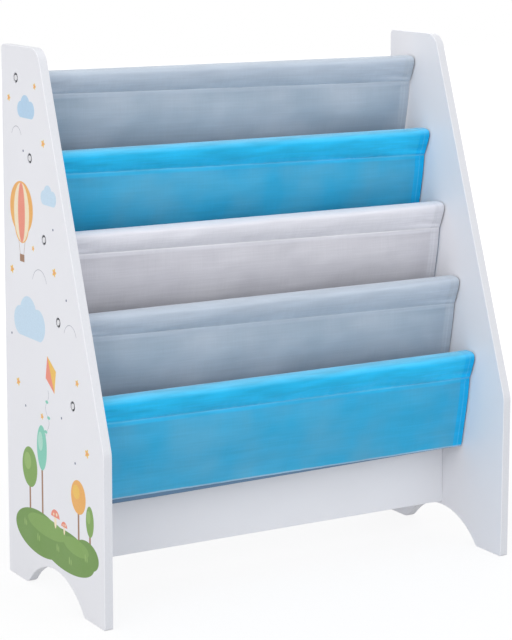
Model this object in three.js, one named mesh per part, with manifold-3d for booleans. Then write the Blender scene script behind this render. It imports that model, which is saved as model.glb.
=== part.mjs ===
// A children's sling bookshelf: two side panels joined by five tubular rods and one lower board.
// Five fabric slings hang from the rods and make a ladder of four pockets.
// Millimetres. +X is to the right seen from the front, -Y is the front, +Z is up.
// The origin is on the floor, in the middle of the width and of the depth.
import * as THREE from "three";
import { mergeVertices } from "three/addons/utils/BufferGeometryUtils.js";
import Module from "manifold-3d";

// Whole shelf
const WIDTH = 620;
const HEIGHT = 708;
const DEPTH = 285;
const FIT_GAP = 0.3; // left between pieces that touch
const CUT_OVERRUN = 20; // how far a cutter runs past the face that it opens

// Side panels
const PANEL_THICKNESS = 12;
const TOP_DEPTH = 109;
const KNEE_HEIGHT = 224; // where the upright front edge starts to lean back
const TOP_FRONT_RADIUS = 26;
const TOP_BACK_RADIUS = 6;
const KNEE_RADIUS = 34;
const FOOT_CORNER_RADIUS = 3;
const EDGE_EASING = 0.8;
const ARCH_WIDTH = 168;
const ARCH_RISE = 40;
const ARCH_SHIFT = -1.5; // arch centre from mid-depth, negative towards the front
const ARCH_FRONT_CORNER_RADIUS = 6;
const ARCH_BACK_CORNER_RADIUS = 18;

// Rods, numbered from the top one at the back to the lowest one at the front
const ROD_COUNT = 5;
const ROD_DIAMETER = 12;
const ROD_WALL = 1;
const TOP_ROD_DROP = 41; // rod centre below the panel's top
const LOWEST_ROD_RISE = 44; // rod centre above the knee
const TOP_ROD_SETBACK = 80; // rod centre behind the sloping front edge
const LOWEST_ROD_SETBACK = 68.5;

// Threaded insert in each rod end
const INSERT_LENGTH = 14;
const INSERT_FLANGE = 1.2;
const INSERT_BORE_RADIUS = 3;

// Rod bolt and its cover cap
const BOLT_SHANK_RADIUS = 2.7;
const BOLT_HEAD_RADIUS = 6.2;
const BOLT_HEAD_THICKNESS = 2.2;
const BOLT_HEAD_CHAMFER = 0.6;
const BOLT_HEAD_SINK = 1.2; // head face below the panel's outer face
const BOLT_GRIP = 12; // shank length inside the insert
const SOCKET_ACROSS_FLATS = 4;
const SOCKET_DEPTH = 1.7;
const CAP_RADIUS = 3.7;
const CAP_THICKNESS = 0.9;
const CAP_CHAMFER = 0.25;
const CAP_PEG_RADIUS = 1.6;
const CAP_PEG_LENGTH = 1.3;

// Lower board and its hidden joints
const BOARD_THICKNESS = 12;
const BOARD_HEIGHT = 150;
const BOARD_BOTTOM = 45;
const BOARD_FRONT_SHIFT = 3; // front face ahead of mid-depth
const CAM_RADIUS = 5.7;
const CAM_FLOOR = 3; // board left in front of the cam
const CAM_INSET = 24; // cam centre from the board's end
const CAM_CROSS_LENGTH = 7;
const CAM_CROSS_WIDTH = 1.2;
const CAM_CROSS_DEPTH = 1.5;
const CAM_BOLT_RADIUS = 2.5;
const CAM_NECK_RADIUS = 1.5;
const CAM_NECK_LENGTH = 5;
const CAM_BOLT_HEAD_LENGTH = 2.6;
const CAM_BOLT_BITE = 8; // threaded length in the panel
const DOWEL_RADIUS = 3;
const DOWEL_BITE = 8;
const DOWEL_REACH = 22;
const DOWEL_CHAMFER = 0.8;
const DOWEL_MARGIN = 25; // dowel centre from the board's top and bottom edges

// Fabric slings
const CLOTH = 1.2; // drawn thickness of one layer
const CLOTH_SIDE_GAP = 2; // cloth end to panel
const SEAM_DROP = 31; // casing seam below the rod centre
const SEAM_LEAD = 7.5; // casing seam ahead of the rod centre
const CASING_PUFF = 19; // loose front of the casing ahead of the rod centre
const CASING_PUFF_SWELL = 3; // how much further it stands out at mid-width
const POCKET_DROP = 131; // bottom seam below the rod centre
const POCKET_TUCK = 9; // bottom seam behind the rod centre
const SEAM_FLAP = 5.5; // free edge of the sling behind, below the bottom seam, at the left
const LEAST_SEAM_FLAP = 0.7; // the same edge at the right
const FLAP_TAPER_SHARES = [-0.64, 0.84]; // of the half width, where the edge gets shorter
const BELLY = 5; // forward swell of a pocket front at mid-width
const BACK_SAG = 4; // how far a pocket's back wall hangs back between its seams
const FOLD_HEIGHT = 1.6; // soft upright folds of a pocket front
const FOLD_COUNTS = [2.5, 3.5, 3, 4, 3.5]; // folds across each sling, top sling first

// Fineness of curved surfaces
const SMALL_SEGMENTS = 12;
const ROD_SEGMENTS = 24;
const OUTLINE_SEGMENTS = 6; // half the steps of each rounding in the panel's outline
const CLOTH_STATIONS = 14; // across the width
const CASING_STEPS = { front: 5, over: 4, wrap: 5, back: 2 };
const WALL_STEPS = 7;
const BACK_WALL_STEPS = 3;
const CROWN_POWER = 4; // how squarely the cloth's swell falls off towards the panels
const LEAST_MITRE = 0.7; // cosine at which a sharp bend's mitre stops growing

const HALF_DEPTH = DEPTH / 2;
const INNER_FACE = WIDTH / 2 - PANEL_THICKNESS;
const ROD_RADIUS = ROD_DIAMETER / 2;

const wasm = await Module();
wasm.setup();

function solidOf(geometry) {
  const bare = geometry.clone();
  bare.deleteAttribute("normal");
  bare.deleteAttribute("uv");
  const merged = mergeVertices(bare);
  return new wasm.Manifold(
    new wasm.Mesh({
      numProp: 3,
      vertProperties: merged.attributes.position.array,
      triVerts: new Uint32Array(merged.index.array),
    }),
  );
}

function geometryOf(solid) {
  const mesh = solid.getMesh();
  const geometry = new THREE.BufferGeometry();
  geometry.setAttribute("position", new THREE.BufferAttribute(mesh.vertProperties, mesh.numProp));
  geometry.setIndex(new THREE.BufferAttribute(mesh.triVerts, 1));
  geometry.computeVertexNormals();
  return geometry;
}

function cut(geometry, tools) {
  const left = tools.reduce((solid, tool) => solid.subtract(solidOf(tool)), solidOf(geometry));
  return geometryOf(left);
}

// A turned piece along +X. Its profile of [distance along X, radius] pairs starts and ends on the
// axis or closes on itself.
function turned(profile, segments = SMALL_SEGMENTS) {
  const points = profile.map(([along, radius]) => new THREE.Vector2(radius, along));
  return new THREE.LatheGeometry(points, segments).rotateZ(-Math.PI / 2);
}

// A plain drill along +X from one distance to another.
function drill(from, to, radius, segments = SMALL_SEGMENTS) {
  return turned([[from, 0], [from, radius], [to, radius], [to, 0]], segments);
}

function block(x0, x1, y0, y1, z0, z1) {
  const box = new THREE.BoxGeometry(x1 - x0, y1 - y0, z1 - z0);
  return box.translate((x0 + x1) / 2, (y0 + y1) / 2, (z0 + z1) / 2);
}

// Front edge of the panel at a height: upright below the knee, leaning back above it.
function frontEdge(z) {
  const slope = (DEPTH - TOP_DEPTH) / (HEIGHT - KNEE_HEIGHT);
  return -HALF_DEPTH + Math.max(0, z - KNEE_HEIGHT) * slope;
}

function rodCentre(index) {
  const share = index / (ROD_COUNT - 1);
  const top = HEIGHT - TOP_ROD_DROP;
  const lowest = KNEE_HEIGHT + LOWEST_ROD_RISE;
  const z = THREE.MathUtils.lerp(top, lowest, share);
  const setback = THREE.MathUtils.lerp(TOP_ROD_SETBACK, LOWEST_ROD_SETBACK, share);
  return { y: frontEdge(z) + setback, z };
}

const RODS = Array.from({ length: ROD_COUNT }, (_, index) => rodCentre(index));
const BOARD_FRONT = -BOARD_FRONT_SHIFT;
const BOARD_BACK = BOARD_FRONT + BOARD_THICKNESS;
const BOARD_MIDDLE = (BOARD_FRONT + BOARD_BACK) / 2;
const BOARD_TOP = BOARD_BOTTOM + BOARD_HEIGHT;
const BOARD_END = INNER_FACE - FIT_GAP;
const CAM_DEPTH = BOARD_THICKNESS - CAM_FLOOR;
const CAM_HEIGHT = (BOARD_BOTTOM + BOARD_TOP) / 2;
const CAM_X = BOARD_END - CAM_INSET;
const DOWEL_HEIGHTS = [BOARD_BOTTOM + DOWEL_MARGIN, BOARD_TOP - DOWEL_MARGIN];

// Rounds the corner at b between the straight edges from a and to c.
function roundCorner(shape, a, b, c, radius) {
  const toA = a.clone().sub(b).normalize();
  const toC = c.clone().sub(b).normalize();
  const half = toA.angleTo(toC) / 2;
  const start = b.clone().addScaledVector(toA, radius / Math.tan(half));
  const centre = b.clone().addScaledVector(toA.clone().add(toC).normalize(), radius / Math.sin(half));
  const end = b.clone().addScaledVector(toC, radius / Math.tan(half));
  const angleOf = (p) => Math.atan2(p.y - centre.y, p.x - centre.x);
  shape.lineTo(start.x, start.y);
  shape.absarc(centre.x, centre.y, radius, angleOf(start), angleOf(end), false);
}

// Distance along the floor from the arch's centre to the centre of a foot's inner rounding.
function footRounding(archRadius, archCentreZ, radius) {
  return Math.sqrt((archRadius + radius) ** 2 - (radius - archCentreZ) ** 2);
}

// Outline in (depth, height), counter-clockwise from the front foot.
function panelOutline() {
  const archRadius = ((ARCH_WIDTH / 2) ** 2 + ARCH_RISE ** 2) / (2 * ARCH_RISE);
  const archZ = ARCH_RISE - archRadius;
  const frontReach = footRounding(archRadius, archZ, ARCH_FRONT_CORNER_RADIUS);
  const backReach = footRounding(archRadius, archZ, ARCH_BACK_CORNER_RADIUS);
  const frontAngle = Math.atan2(ARCH_FRONT_CORNER_RADIUS - archZ, -frontReach);
  const backAngle = Math.atan2(ARCH_BACK_CORNER_RADIUS - archZ, backReach);
  const corner = (y, z) => new THREE.Vector2(y, z);
  const frontFoot = corner(-HALF_DEPTH, 0);
  const backFoot = corner(HALF_DEPTH, 0);
  const topBack = corner(HALF_DEPTH, HEIGHT);
  const topFront = corner(HALF_DEPTH - TOP_DEPTH, HEIGHT);
  const knee = corner(-HALF_DEPTH, KNEE_HEIGHT);

  const shape = new THREE.Shape();
  shape.moveTo(frontFoot.x + FOOT_CORNER_RADIUS, 0);
  shape.absarc(
    ARCH_SHIFT - frontReach, ARCH_FRONT_CORNER_RADIUS, ARCH_FRONT_CORNER_RADIUS,
    -Math.PI / 2, frontAngle - Math.PI, false,
  );
  shape.absarc(ARCH_SHIFT, archZ, archRadius, frontAngle, backAngle, true);
  shape.absarc(
    ARCH_SHIFT + backReach, ARCH_BACK_CORNER_RADIUS, ARCH_BACK_CORNER_RADIUS,
    backAngle - Math.PI, -Math.PI / 2, false,
  );
  roundCorner(shape, frontFoot, backFoot, topBack, FOOT_CORNER_RADIUS);
  roundCorner(shape, backFoot, topBack, topFront, TOP_BACK_RADIUS);
  roundCorner(shape, topBack, topFront, knee, TOP_FRONT_RADIUS);
  roundCorner(shape, topFront, knee, frontFoot, KNEE_RADIUS);
  roundCorner(shape, knee, frontFoot, backFoot, FOOT_CORNER_RADIUS);
  return shape;
}

// A board of an outline, from z = 0 up to its thickness, with eased edges.
function easedBoard(outline, thickness) {
  const board = new THREE.ExtrudeGeometry(outline, {
    depth: thickness - 2 * EDGE_EASING,
    curveSegments: OUTLINE_SEGMENTS,
    bevelThickness: EDGE_EASING,
    bevelSize: EDGE_EASING,
    bevelOffset: -EDGE_EASING,
    bevelSegments: 1,
  });
  return board.translate(0, 0, EDGE_EASING);
}

// The right-hand panel, its inner face at x = INNER_FACE, drilled for rods, cam bolt and dowels.
function panelGeometry() {
  const board = easedBoard(panelOutline(), PANEL_THICKNESS);
  board.applyMatrix4(new THREE.Matrix4().set(0, 0, 1, INNER_FACE, 1, 0, 0, 0, 0, 1, 0, 0, 0, 0, 0, 1));
  const outer = INNER_FACE + PANEL_THICKNESS;
  const seat = outer - BOLT_HEAD_SINK - BOLT_HEAD_THICKNESS - FIT_GAP;
  const inside = INNER_FACE - CUT_OVERRUN;
  const tools = [];
  for (const rod of RODS) {
    const hole = turned([
      [inside, 0],
      [inside, INSERT_BORE_RADIUS],
      [seat, INSERT_BORE_RADIUS],
      [seat, BOLT_HEAD_RADIUS + FIT_GAP],
      [outer + CUT_OVERRUN, BOLT_HEAD_RADIUS + FIT_GAP],
      [outer + CUT_OVERRUN, 0],
    ]);
    tools.push(hole.translate(0, rod.y, rod.z));
  }
  const blind = (depth, radius, z) =>
    drill(inside, INNER_FACE + depth + FIT_GAP, radius + FIT_GAP).translate(0, BOARD_MIDDLE, z);
  tools.push(blind(CAM_BOLT_BITE, CAM_BOLT_RADIUS, CAM_HEIGHT));
  for (const z of DOWEL_HEIGHTS) tools.push(blind(DOWEL_BITE, DOWEL_RADIUS, z));
  return cut(board, tools);
}

// The lower board, with a recess for each cam and bores for the cam bolts and dowels.
function boardGeometry() {
  const outline = new THREE.Shape([
    new THREE.Vector2(-BOARD_END, BOARD_BOTTOM),
    new THREE.Vector2(BOARD_END, BOARD_BOTTOM),
    new THREE.Vector2(BOARD_END, BOARD_TOP),
    new THREE.Vector2(-BOARD_END, BOARD_TOP),
  ]);
  const body = easedBoard(outline, BOARD_THICKNESS).rotateX(Math.PI / 2).translate(0, BOARD_BACK, 0);
  const tools = [];
  for (const side of [-1, 1]) {
    const recess = new THREE.CylinderGeometry(
      CAM_RADIUS + FIT_GAP, CAM_RADIUS + FIT_GAP, 2 * CAM_DEPTH, SMALL_SEGMENTS,
    );
    tools.push(recess.translate(side * CAM_X, BOARD_BACK, CAM_HEIGHT));
    const bore = (reach, radius, z) => {
      const hole = drill(BOARD_END - reach - FIT_GAP, BOARD_END + CUT_OVERRUN, radius + FIT_GAP);
      if (side < 0) hole.rotateZ(Math.PI);
      return hole.translate(0, BOARD_MIDDLE, z);
    };
    tools.push(bore(CAM_INSET + CAM_BOLT_HEAD_LENGTH / 2, CAM_BOLT_RADIUS, CAM_HEIGHT));
    for (const z of DOWEL_HEIGHTS) tools.push(bore(DOWEL_REACH, DOWEL_RADIUS, z));
  }
  return cut(body, tools);
}

// The cam's axis is along +Y; a stepped slot towards +X takes the bolt's head and neck.
function camGeometry() {
  const height = CAM_DEPTH - FIT_GAP;
  const body = new THREE.CylinderGeometry(CAM_RADIUS, CAM_RADIUS, height, SMALL_SEGMENTS);
  body.translate(0, -height / 2, 0);
  const headRoom = CAM_BOLT_RADIUS + FIT_GAP;
  const neckRoom = CAM_NECK_RADIUS + FIT_GAP;
  const headLength = CAM_BOLT_HEAD_LENGTH / 2 + FIT_GAP;
  const crown = headRoom - BOARD_THICKNESS / 2;
  const half = CAM_CROSS_LENGTH / 2;
  const wide = CAM_CROSS_WIDTH / 2;
  return cut(body, [
    block(-headLength, headLength, -CUT_OVERRUN, crown, -headRoom, headRoom),
    block(0, CUT_OVERRUN, -CUT_OVERRUN, crown, -neckRoom, neckRoom),
    block(-half, half, -CAM_CROSS_DEPTH, CUT_OVERRUN, -wide, wide),
    block(-wide, wide, -CAM_CROSS_DEPTH, CUT_OVERRUN, -half, half),
  ]);
}

// Along +X from the head in the cam to the threaded end in the panel; x = 0 is the head's middle.
function camBoltGeometry() {
  const head = CAM_BOLT_HEAD_LENGTH / 2;
  const neckEnd = head + CAM_NECK_LENGTH;
  const tip = CAM_INSET + FIT_GAP + CAM_BOLT_BITE;
  return turned([
    [-head, 0],
    [-head, CAM_BOLT_RADIUS],
    [head, CAM_BOLT_RADIUS],
    [head, CAM_NECK_RADIUS],
    [neckEnd, CAM_NECK_RADIUS],
    [neckEnd, CAM_BOLT_RADIUS],
    [tip, CAM_BOLT_RADIUS],
    [tip, 0],
  ]);
}

function dowelGeometry() {
  const from = BOARD_END - DOWEL_REACH;
  const to = INNER_FACE + DOWEL_BITE;
  const end = DOWEL_RADIUS - DOWEL_CHAMFER;
  return turned([
    [from, 0],
    [from, end],
    [from + DOWEL_CHAMFER, DOWEL_RADIUS],
    [to - DOWEL_CHAMFER, DOWEL_RADIUS],
    [to, end],
    [to, 0],
  ]);
}

// A tube that ends against the flanges of its two threaded inserts.
function rodGeometry() {
  const end = INNER_FACE - 2 * FIT_GAP - INSERT_FLANGE;
  const bore = ROD_RADIUS - ROD_WALL;
  return turned(
    [[-end, bore], [-end, ROD_RADIUS], [end, ROD_RADIUS], [end, bore], [-end, bore]],
    ROD_SEGMENTS,
  );
}

function insertGeometry() {
  const face = INNER_FACE - FIT_GAP; // seats on the panel
  const body = ROD_RADIUS - ROD_WALL - FIT_GAP;
  const inner = face - INSERT_FLANGE - INSERT_LENGTH;
  return turned([
    [face, INSERT_BORE_RADIUS],
    [inner, INSERT_BORE_RADIUS],
    [inner, body],
    [face - INSERT_FLANGE, body],
    [face - INSERT_FLANGE, ROD_RADIUS],
    [face, ROD_RADIUS],
    [face, INSERT_BORE_RADIUS],
  ]);
}

function boltGeometry() {
  const face = WIDTH / 2 - BOLT_HEAD_SINK;
  const under = face - BOLT_HEAD_THICKNESS;
  const tip = INNER_FACE - FIT_GAP - BOLT_GRIP;
  const body = turned([
    [tip, 0],
    [tip, BOLT_SHANK_RADIUS],
    [under, BOLT_SHANK_RADIUS],
    [under, BOLT_HEAD_RADIUS],
    [face - BOLT_HEAD_CHAMFER, BOLT_HEAD_RADIUS],
    [face, BOLT_HEAD_RADIUS - BOLT_HEAD_CHAMFER],
    [face, 0],
  ]);
  const corner = SOCKET_ACROSS_FLATS / Math.sqrt(3);
  return cut(body, [drill(face - SOCKET_DEPTH, face + SOCKET_DEPTH, corner, 6)]);
}

function capGeometry() {
  const face = WIDTH / 2;
  const under = face - CAP_THICKNESS;
  const pegEnd = under - FIT_GAP - CAP_PEG_LENGTH;
  return turned([
    [pegEnd, 0],
    [pegEnd, CAP_PEG_RADIUS],
    [under, CAP_PEG_RADIUS],
    [under, CAP_RADIUS],
    [face - CAP_CHAMFER, CAP_RADIUS],
    [face, CAP_RADIUS - CAP_CHAMFER],
    [face, 0],
  ]);
}

// All sling outlines are (depth, height) from the rod's axis, with -depth towards the front.
const SEAM = new THREE.Vector2(-SEAM_LEAD, -SEAM_DROP);
const BOTTOM = new THREE.Vector2(POCKET_TUCK, -POCKET_DROP);
const HUG = ROD_RADIUS + FIT_GAP + CLOTH / 2; // cloth centre line where it lies on the rod

// Casing centre line: up the loose front, over the rod, down the back, seam to seam.
function casingLine(puff) {
  const tip = new THREE.Vector2(-puff, 0);
  const front = new THREE.CubicBezierCurve(
    SEAM,
    new THREE.Vector2(SEAM.x - HUG / 2, SEAM.y + HUG),
    new THREE.Vector2(tip.x, -HUG),
    tip,
  );
  const over = new THREE.CubicBezierCurve(
    tip,
    new THREE.Vector2(tip.x, HUG / 2),
    new THREE.Vector2(tip.x / 2, HUG),
    new THREE.Vector2(0, HUG),
  );
  const tangent = SEAM.angle() - 2 * Math.PI + Math.acos(HUG / SEAM.length());
  const wrap = new THREE.EllipseCurve(0, 0, HUG, HUG, Math.PI / 2, tangent, true);
  const leave = new THREE.Vector2(HUG, 0).rotateAround(new THREE.Vector2(), tangent);
  const back = new THREE.LineCurve(leave, SEAM);
  const runs = Object.entries({ front, over, wrap, back });
  return [...runs.flatMap(([name, run]) => run.getPoints(CASING_STEPS[name]).slice(0, -1)), SEAM];
}

// Wall centre line from the casing seam down; a sling that another pocket follows goes on
// as that pocket's back wall and ends in a flap behind the next sling's bottom seam.
function wallLine(index, forward, flap) {
  const middle = new THREE.Vector2(SEAM.x / 2, SEAM.y - SEAM_DROP);
  const front = new THREE.SplineCurve([SEAM, middle, BOTTOM]).getPoints(WALL_STEPS);
  front.forEach((point, step) => {
    point.x -= forward * Math.sin((Math.PI * step) / WALL_STEPS) ** 2;
  });
  if (index === ROD_COUNT - 1) return front;
  const [rod, next] = [RODS[index], RODS[index + 1]];
  const behind = CLOTH + FIT_GAP;
  const end = new THREE.Vector2(BOTTOM.x + next.y - rod.y + behind, BOTTOM.y + next.z - rod.z);
  const back = new THREE.LineCurve(BOTTOM, end).getPoints(BACK_WALL_STEPS);
  back.forEach((point, step) => {
    point.x += BACK_SAG * Math.sin((Math.PI * step) / BACK_WALL_STEPS);
  });
  return [...front, ...back.slice(1), new THREE.Vector2(end.x, end.y - flap)];
}

// Moves a centre line sideways by half the cloth, to its left (+1) or right (-1).
function offsetLine(line, side) {
  const last = line.length - 1;
  return line.map((point, i) => {
    const into = point.clone().sub(line[Math.max(0, i - 1)]).normalize();
    const out = line[Math.min(last, i + 1)].clone().sub(point).normalize();
    const along = into.clone().add(out).normalize();
    const bent = i > 0 && i < last;
    const mitre = bent ? Math.max(LEAST_MITRE, Math.sqrt((1 + into.dot(out)) / 2)) : 1;
    const reach = (side * CLOTH) / (2 * mitre);
    return new THREE.Vector2(point.x - along.y * reach, point.y + along.x * reach);
  });
}

// The section of a sling: its outer boundary, clockwise from the foot of the wall's front,
// and the opening that the rod goes through, clockwise from the pinch above the seam.
function slingSection(index, x) {
  const span = x / INNER_FACE;
  const crown = 1 - Math.abs(span) ** CROWN_POWER;
  const fold = FOLD_HEIGHT * Math.cos(FOLD_COUNTS[index] * Math.PI * span + index);
  const loop = casingLine(CASING_PUFF + CASING_PUFF_SWELL * crown + fold / 2);
  const taper = THREE.MathUtils.mapLinear(span, ...FLAP_TAPER_SHARES, SEAM_FLAP, LEAST_SEAM_FLAP);
  const flap = THREE.MathUtils.clamp(taper, LEAST_SEAM_FLAP, SEAM_FLAP);
  const wall = wallLine(index, (BELLY + fold) * crown, flap);
  const casingOuter = offsetLine(loop, 1).slice(1, -1);
  const casingInner = offsetLine(loop, -1).slice(2, -2);
  const pinch = new THREE.Vector2(SEAM.x, SEAM.y + 2 * CLOTH);
  return {
    outer: [...offsetLine(wall, -1).reverse(), ...casingOuter, ...offsetLine(wall, 1)],
    inner: [pinch, ...casingInner],
    wallSteps: wall.length - 1,
    casingSteps: casingOuter.length - 1,
  };
}

// Triangles of a section's face, anticlockwise seen from +X, as indices into outer then inner.
function sectionFace({ outer, wallSteps, casingSteps }) {
  const front = (k) => wallSteps - k;
  const casing = (k) => wallSteps + 1 + k;
  const back = (k) => wallSteps + 2 + casingSteps + k;
  const inside = (k) => outer.length + (k === casingSteps ? 0 : k);
  const faces = [
    [front(0), inside(0), casing(0)],
    [front(0), back(0), inside(0)],
    [back(0), casing(casingSteps), inside(0)],
  ];
  const quad = (a, b, c, d) => faces.push([a, b, c], [a, c, d]);
  for (let k = 0; k < wallSteps; k++) quad(front(k), front(k + 1), back(k + 1), back(k));
  for (let k = 0; k < casingSteps; k++) quad(casing(k), inside(k), inside(k + 1), casing(k + 1));
  return faces;
}

function slingGeometry(index) {
  const half = INNER_FACE - CLOTH_SIDE_GAP;
  const stations = Array.from({ length: CLOTH_STATIONS + 1 }, (_, i) => {
    return THREE.MathUtils.lerp(-half, half, i / CLOTH_STATIONS);
  });
  const sections = stations.map((x) => slingSection(index, x));
  const positions = sections.flatMap(({ outer, inner }, i) => {
    return [...outer, ...inner].flatMap((point) => [stations[i], point.x, point.y]);
  });
  const outerCount = sections[0].outer.length;
  const innerCount = sections[0].inner.length;
  const ringSize = outerCount + innerCount;
  const triangles = [];
  // Joins a closed run of points to the same run one station on, facing out or into the casing.
  const band = (from, count, inwards) => {
    for (let k = 0; k < count; k++) {
      const [a, b] = [from + k, from + ((k + 1) % count)];
      const [c, d] = [a + ringSize, b + ringSize];
      if (inwards) triangles.push(a, b, d, a, d, c);
      else triangles.push(a, d, b, a, c, d);
    }
  };
  for (let i = 0; i < CLOTH_STATIONS; i++) {
    band(i * ringSize, outerCount, false);
    band(i * ringSize + outerCount, innerCount, true);
  }
  const last = CLOTH_STATIONS * ringSize;
  for (const [a, b, c] of sectionFace(sections[0])) {
    triangles.push(a, c, b);
    triangles.push(last + a, last + b, last + c);
  }
  const geometry = new THREE.BufferGeometry();
  geometry.setAttribute("position", new THREE.Float32BufferAttribute(positions, 3));
  geometry.setIndex(triangles);
  geometry.computeVertexNormals();
  return geometry;
}

const finish = (color, roughness, metalness = 0) =>
  new THREE.MeshStandardMaterial({ color, roughness, metalness });
const LACQUER = finish(0xeceef2, 0.45);
const STEEL = finish(0xb9bcc0, 0.3, 1);
const DARK_STEEL = finish(0x4a4c50, 0.35, 1);
const CAP_PLASTIC = finish(0xf2f2f2, 0.4);
const ZINC = finish(0x9c9ea2, 0.4, 1);
const BEECH = finish(0xd9b98a, 0.7);
const CLOTHS = [0xb4bcc9, 0x35a9dd, 0xe4e3ea, 0xaab4c4, 0x35a9dd].map((color) => {
  const cloth = finish(color, 0.85);
  cloth.side = THREE.DoubleSide;
  return cloth;
});

const ROD_NAMES = ["back_top_rod", "pocket_rod_1", "pocket_rod_2", "pocket_rod_3", "pocket_rod_4"];
const SLING_NAMES = [
  "top_grey_sling", "upper_blue_sling", "white_sling", "lower_grey_sling", "lower_blue_sling",
];

function add(parent, name, geometry, material, x = 0, y = 0, z = 0) {
  const mesh = new THREE.Mesh(geometry, material);
  mesh.name = name;
  mesh.position.set(x, y, z);
  parent.add(mesh);
}

const panel = panelGeometry();
const insert = insertGeometry();
const bolt = boltGeometry();
const cap = capGeometry();
const cam = camGeometry();
const camBolt = camBoltGeometry();
const dowel = dowelGeometry();
const rodTube = rodGeometry();

const bookshelf = new THREE.Group();
for (const [side, sign] of [["left", -1], ["right", 1]]) {
  const half = new THREE.Group();
  half.scale.x = sign;
  bookshelf.add(half);
  add(half, `${side}_side_panel`, panel, LACQUER);
  RODS.forEach(({ y, z }, index) => {
    add(half, `${ROD_NAMES[index]}_insert_${side}`, insert, ZINC, 0, y, z);
    add(half, `${ROD_NAMES[index]}_bolt_${side}`, bolt, DARK_STEEL, 0, y, z);
    add(half, `${ROD_NAMES[index]}_bolt_cap_${side}`, cap, CAP_PLASTIC, 0, y, z);
  });
  add(half, `board_cam_${side}`, cam, ZINC, CAM_X, BOARD_BACK, CAM_HEIGHT);
  add(half, `board_cam_bolt_${side}`, camBolt, ZINC, CAM_X, BOARD_MIDDLE, CAM_HEIGHT);
  ["lower", "upper"].forEach((place, level) => {
    add(half, `board_dowel_${place}_${side}`, dowel, BEECH, 0, BOARD_MIDDLE, DOWEL_HEIGHTS[level]);
  });
}
add(bookshelf, "lower_board", boardGeometry(), LACQUER);
RODS.forEach(({ y, z }, index) => {
  add(bookshelf, ROD_NAMES[index], rodTube, STEEL, 0, y, z);
  add(bookshelf, SLING_NAMES[index], slingGeometry(index), CLOTHS[index], 0, y, z);
});

export default bookshelf;
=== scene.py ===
import math
from functools import partialmethod, reduce

import bpy
import numpy as np
from mathutils import Euler, Matrix, Vector, noise


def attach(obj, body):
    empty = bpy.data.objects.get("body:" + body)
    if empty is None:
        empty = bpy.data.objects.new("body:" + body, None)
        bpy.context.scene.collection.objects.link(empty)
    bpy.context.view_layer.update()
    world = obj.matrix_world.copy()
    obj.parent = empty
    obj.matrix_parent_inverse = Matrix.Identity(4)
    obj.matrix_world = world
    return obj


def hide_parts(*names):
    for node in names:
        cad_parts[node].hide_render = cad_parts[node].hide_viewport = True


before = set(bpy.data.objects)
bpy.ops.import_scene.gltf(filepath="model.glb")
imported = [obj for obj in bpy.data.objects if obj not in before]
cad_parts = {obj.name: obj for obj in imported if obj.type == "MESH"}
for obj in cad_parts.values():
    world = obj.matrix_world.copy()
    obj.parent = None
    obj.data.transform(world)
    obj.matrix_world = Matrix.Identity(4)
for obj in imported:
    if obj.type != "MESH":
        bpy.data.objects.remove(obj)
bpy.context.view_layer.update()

# Shelf and panels, as in the CAD
HEIGHT = 0.708
DEPTH = 0.285
HALF_DEPTH = DEPTH / 2
OUTER_FACE = 0.310
INNER_FACE = 0.298
FIT_GAP = 0.0003
TOP_DEPTH = 0.109
KNEE_HEIGHT = 0.224
TOP_FRONT_RADIUS = 0.026
TOP_BACK_RADIUS = 0.006
KNEE_RADIUS = 0.034
FOOT_CORNER_RADIUS = 0.003
PANEL_EASING = 0.0009
BOARD_EASING = 0.0006
ARCH_WIDTH = 0.168
ARCH_RISE = 0.040
ARCH_SHIFT = -0.0015
ARCH_FRONT_RADIUS = 0.006
ARCH_BACK_RADIUS = 0.018

# How finely things are drawn
EASING_STEPS = 4
ARC_STEP = math.radians(4)
LEAST_ARC_STEPS = 3
SHARP_ANGLE = math.radians(35)  # edges that bend more than this stay sharp
FINE_SEGMENTS = 64
CAP_SEGMENTS = 48
BORE_SEGMENTS = 32
CUT_OVERRUN = 0.02  # how far a cutter runs past the face that it opens

# Rods and their bolts. A centre is (depth, height), and lengths of a bolt are measured along X.
ROD_NAMES = ["back_top_rod", *(f"pocket_rod_{k}" for k in (1, 2, 3, 4))]
TOP_ROD = (0.09859, 0.667)
LOWEST_ROD = (-0.058, 0.268)
ROD_CENTRES = np.linspace(TOP_ROD, LOWEST_ROD, len(ROD_NAMES))
BORE_RADIUS = 0.003
HOLE_CHAMFER = 0.0003
CHAMFER_OVERRUN = 0.0001
BOLT_FACE = 0.3088
BOLT_TIP = 0.2857
BOLT_TIP_CHAMFER = 0.0004
BOLT_SHANK_RADIUS = 0.0027
BOLT_HEAD_THICKNESS = 0.0022
BOLT_HEAD_RADIUS = 0.0062
BOLT_HEAD_CHAMFER = 0.0001
SOCKET_CORNER = 0.004 / math.sqrt(3)
SOCKET_DEPTH = 0.0017
CAP_RADIUS = 0.0037
CAP_THICKNESS = 0.0009
CAP_PEG_RADIUS = 0.0016
CAP_PEG_END = 0.3075
CAP_PEG_CHAMFER = 0.0002
# Rounded rims, as distances below the face and in from the side
BOLT_RIM = [(0.0007, 0), (0.0004, 0.0001), (0.00012, 0.0004), (0, 0.0008)]
CAP_RIM = [(0.0004, 0), (0.0002, 0.00006), (0.00006, 0.0002), (0, 0.0006), (0.00008, 0.0012)]
CAP_DISH = 0.00012  # the cap's middle below its rim

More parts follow.
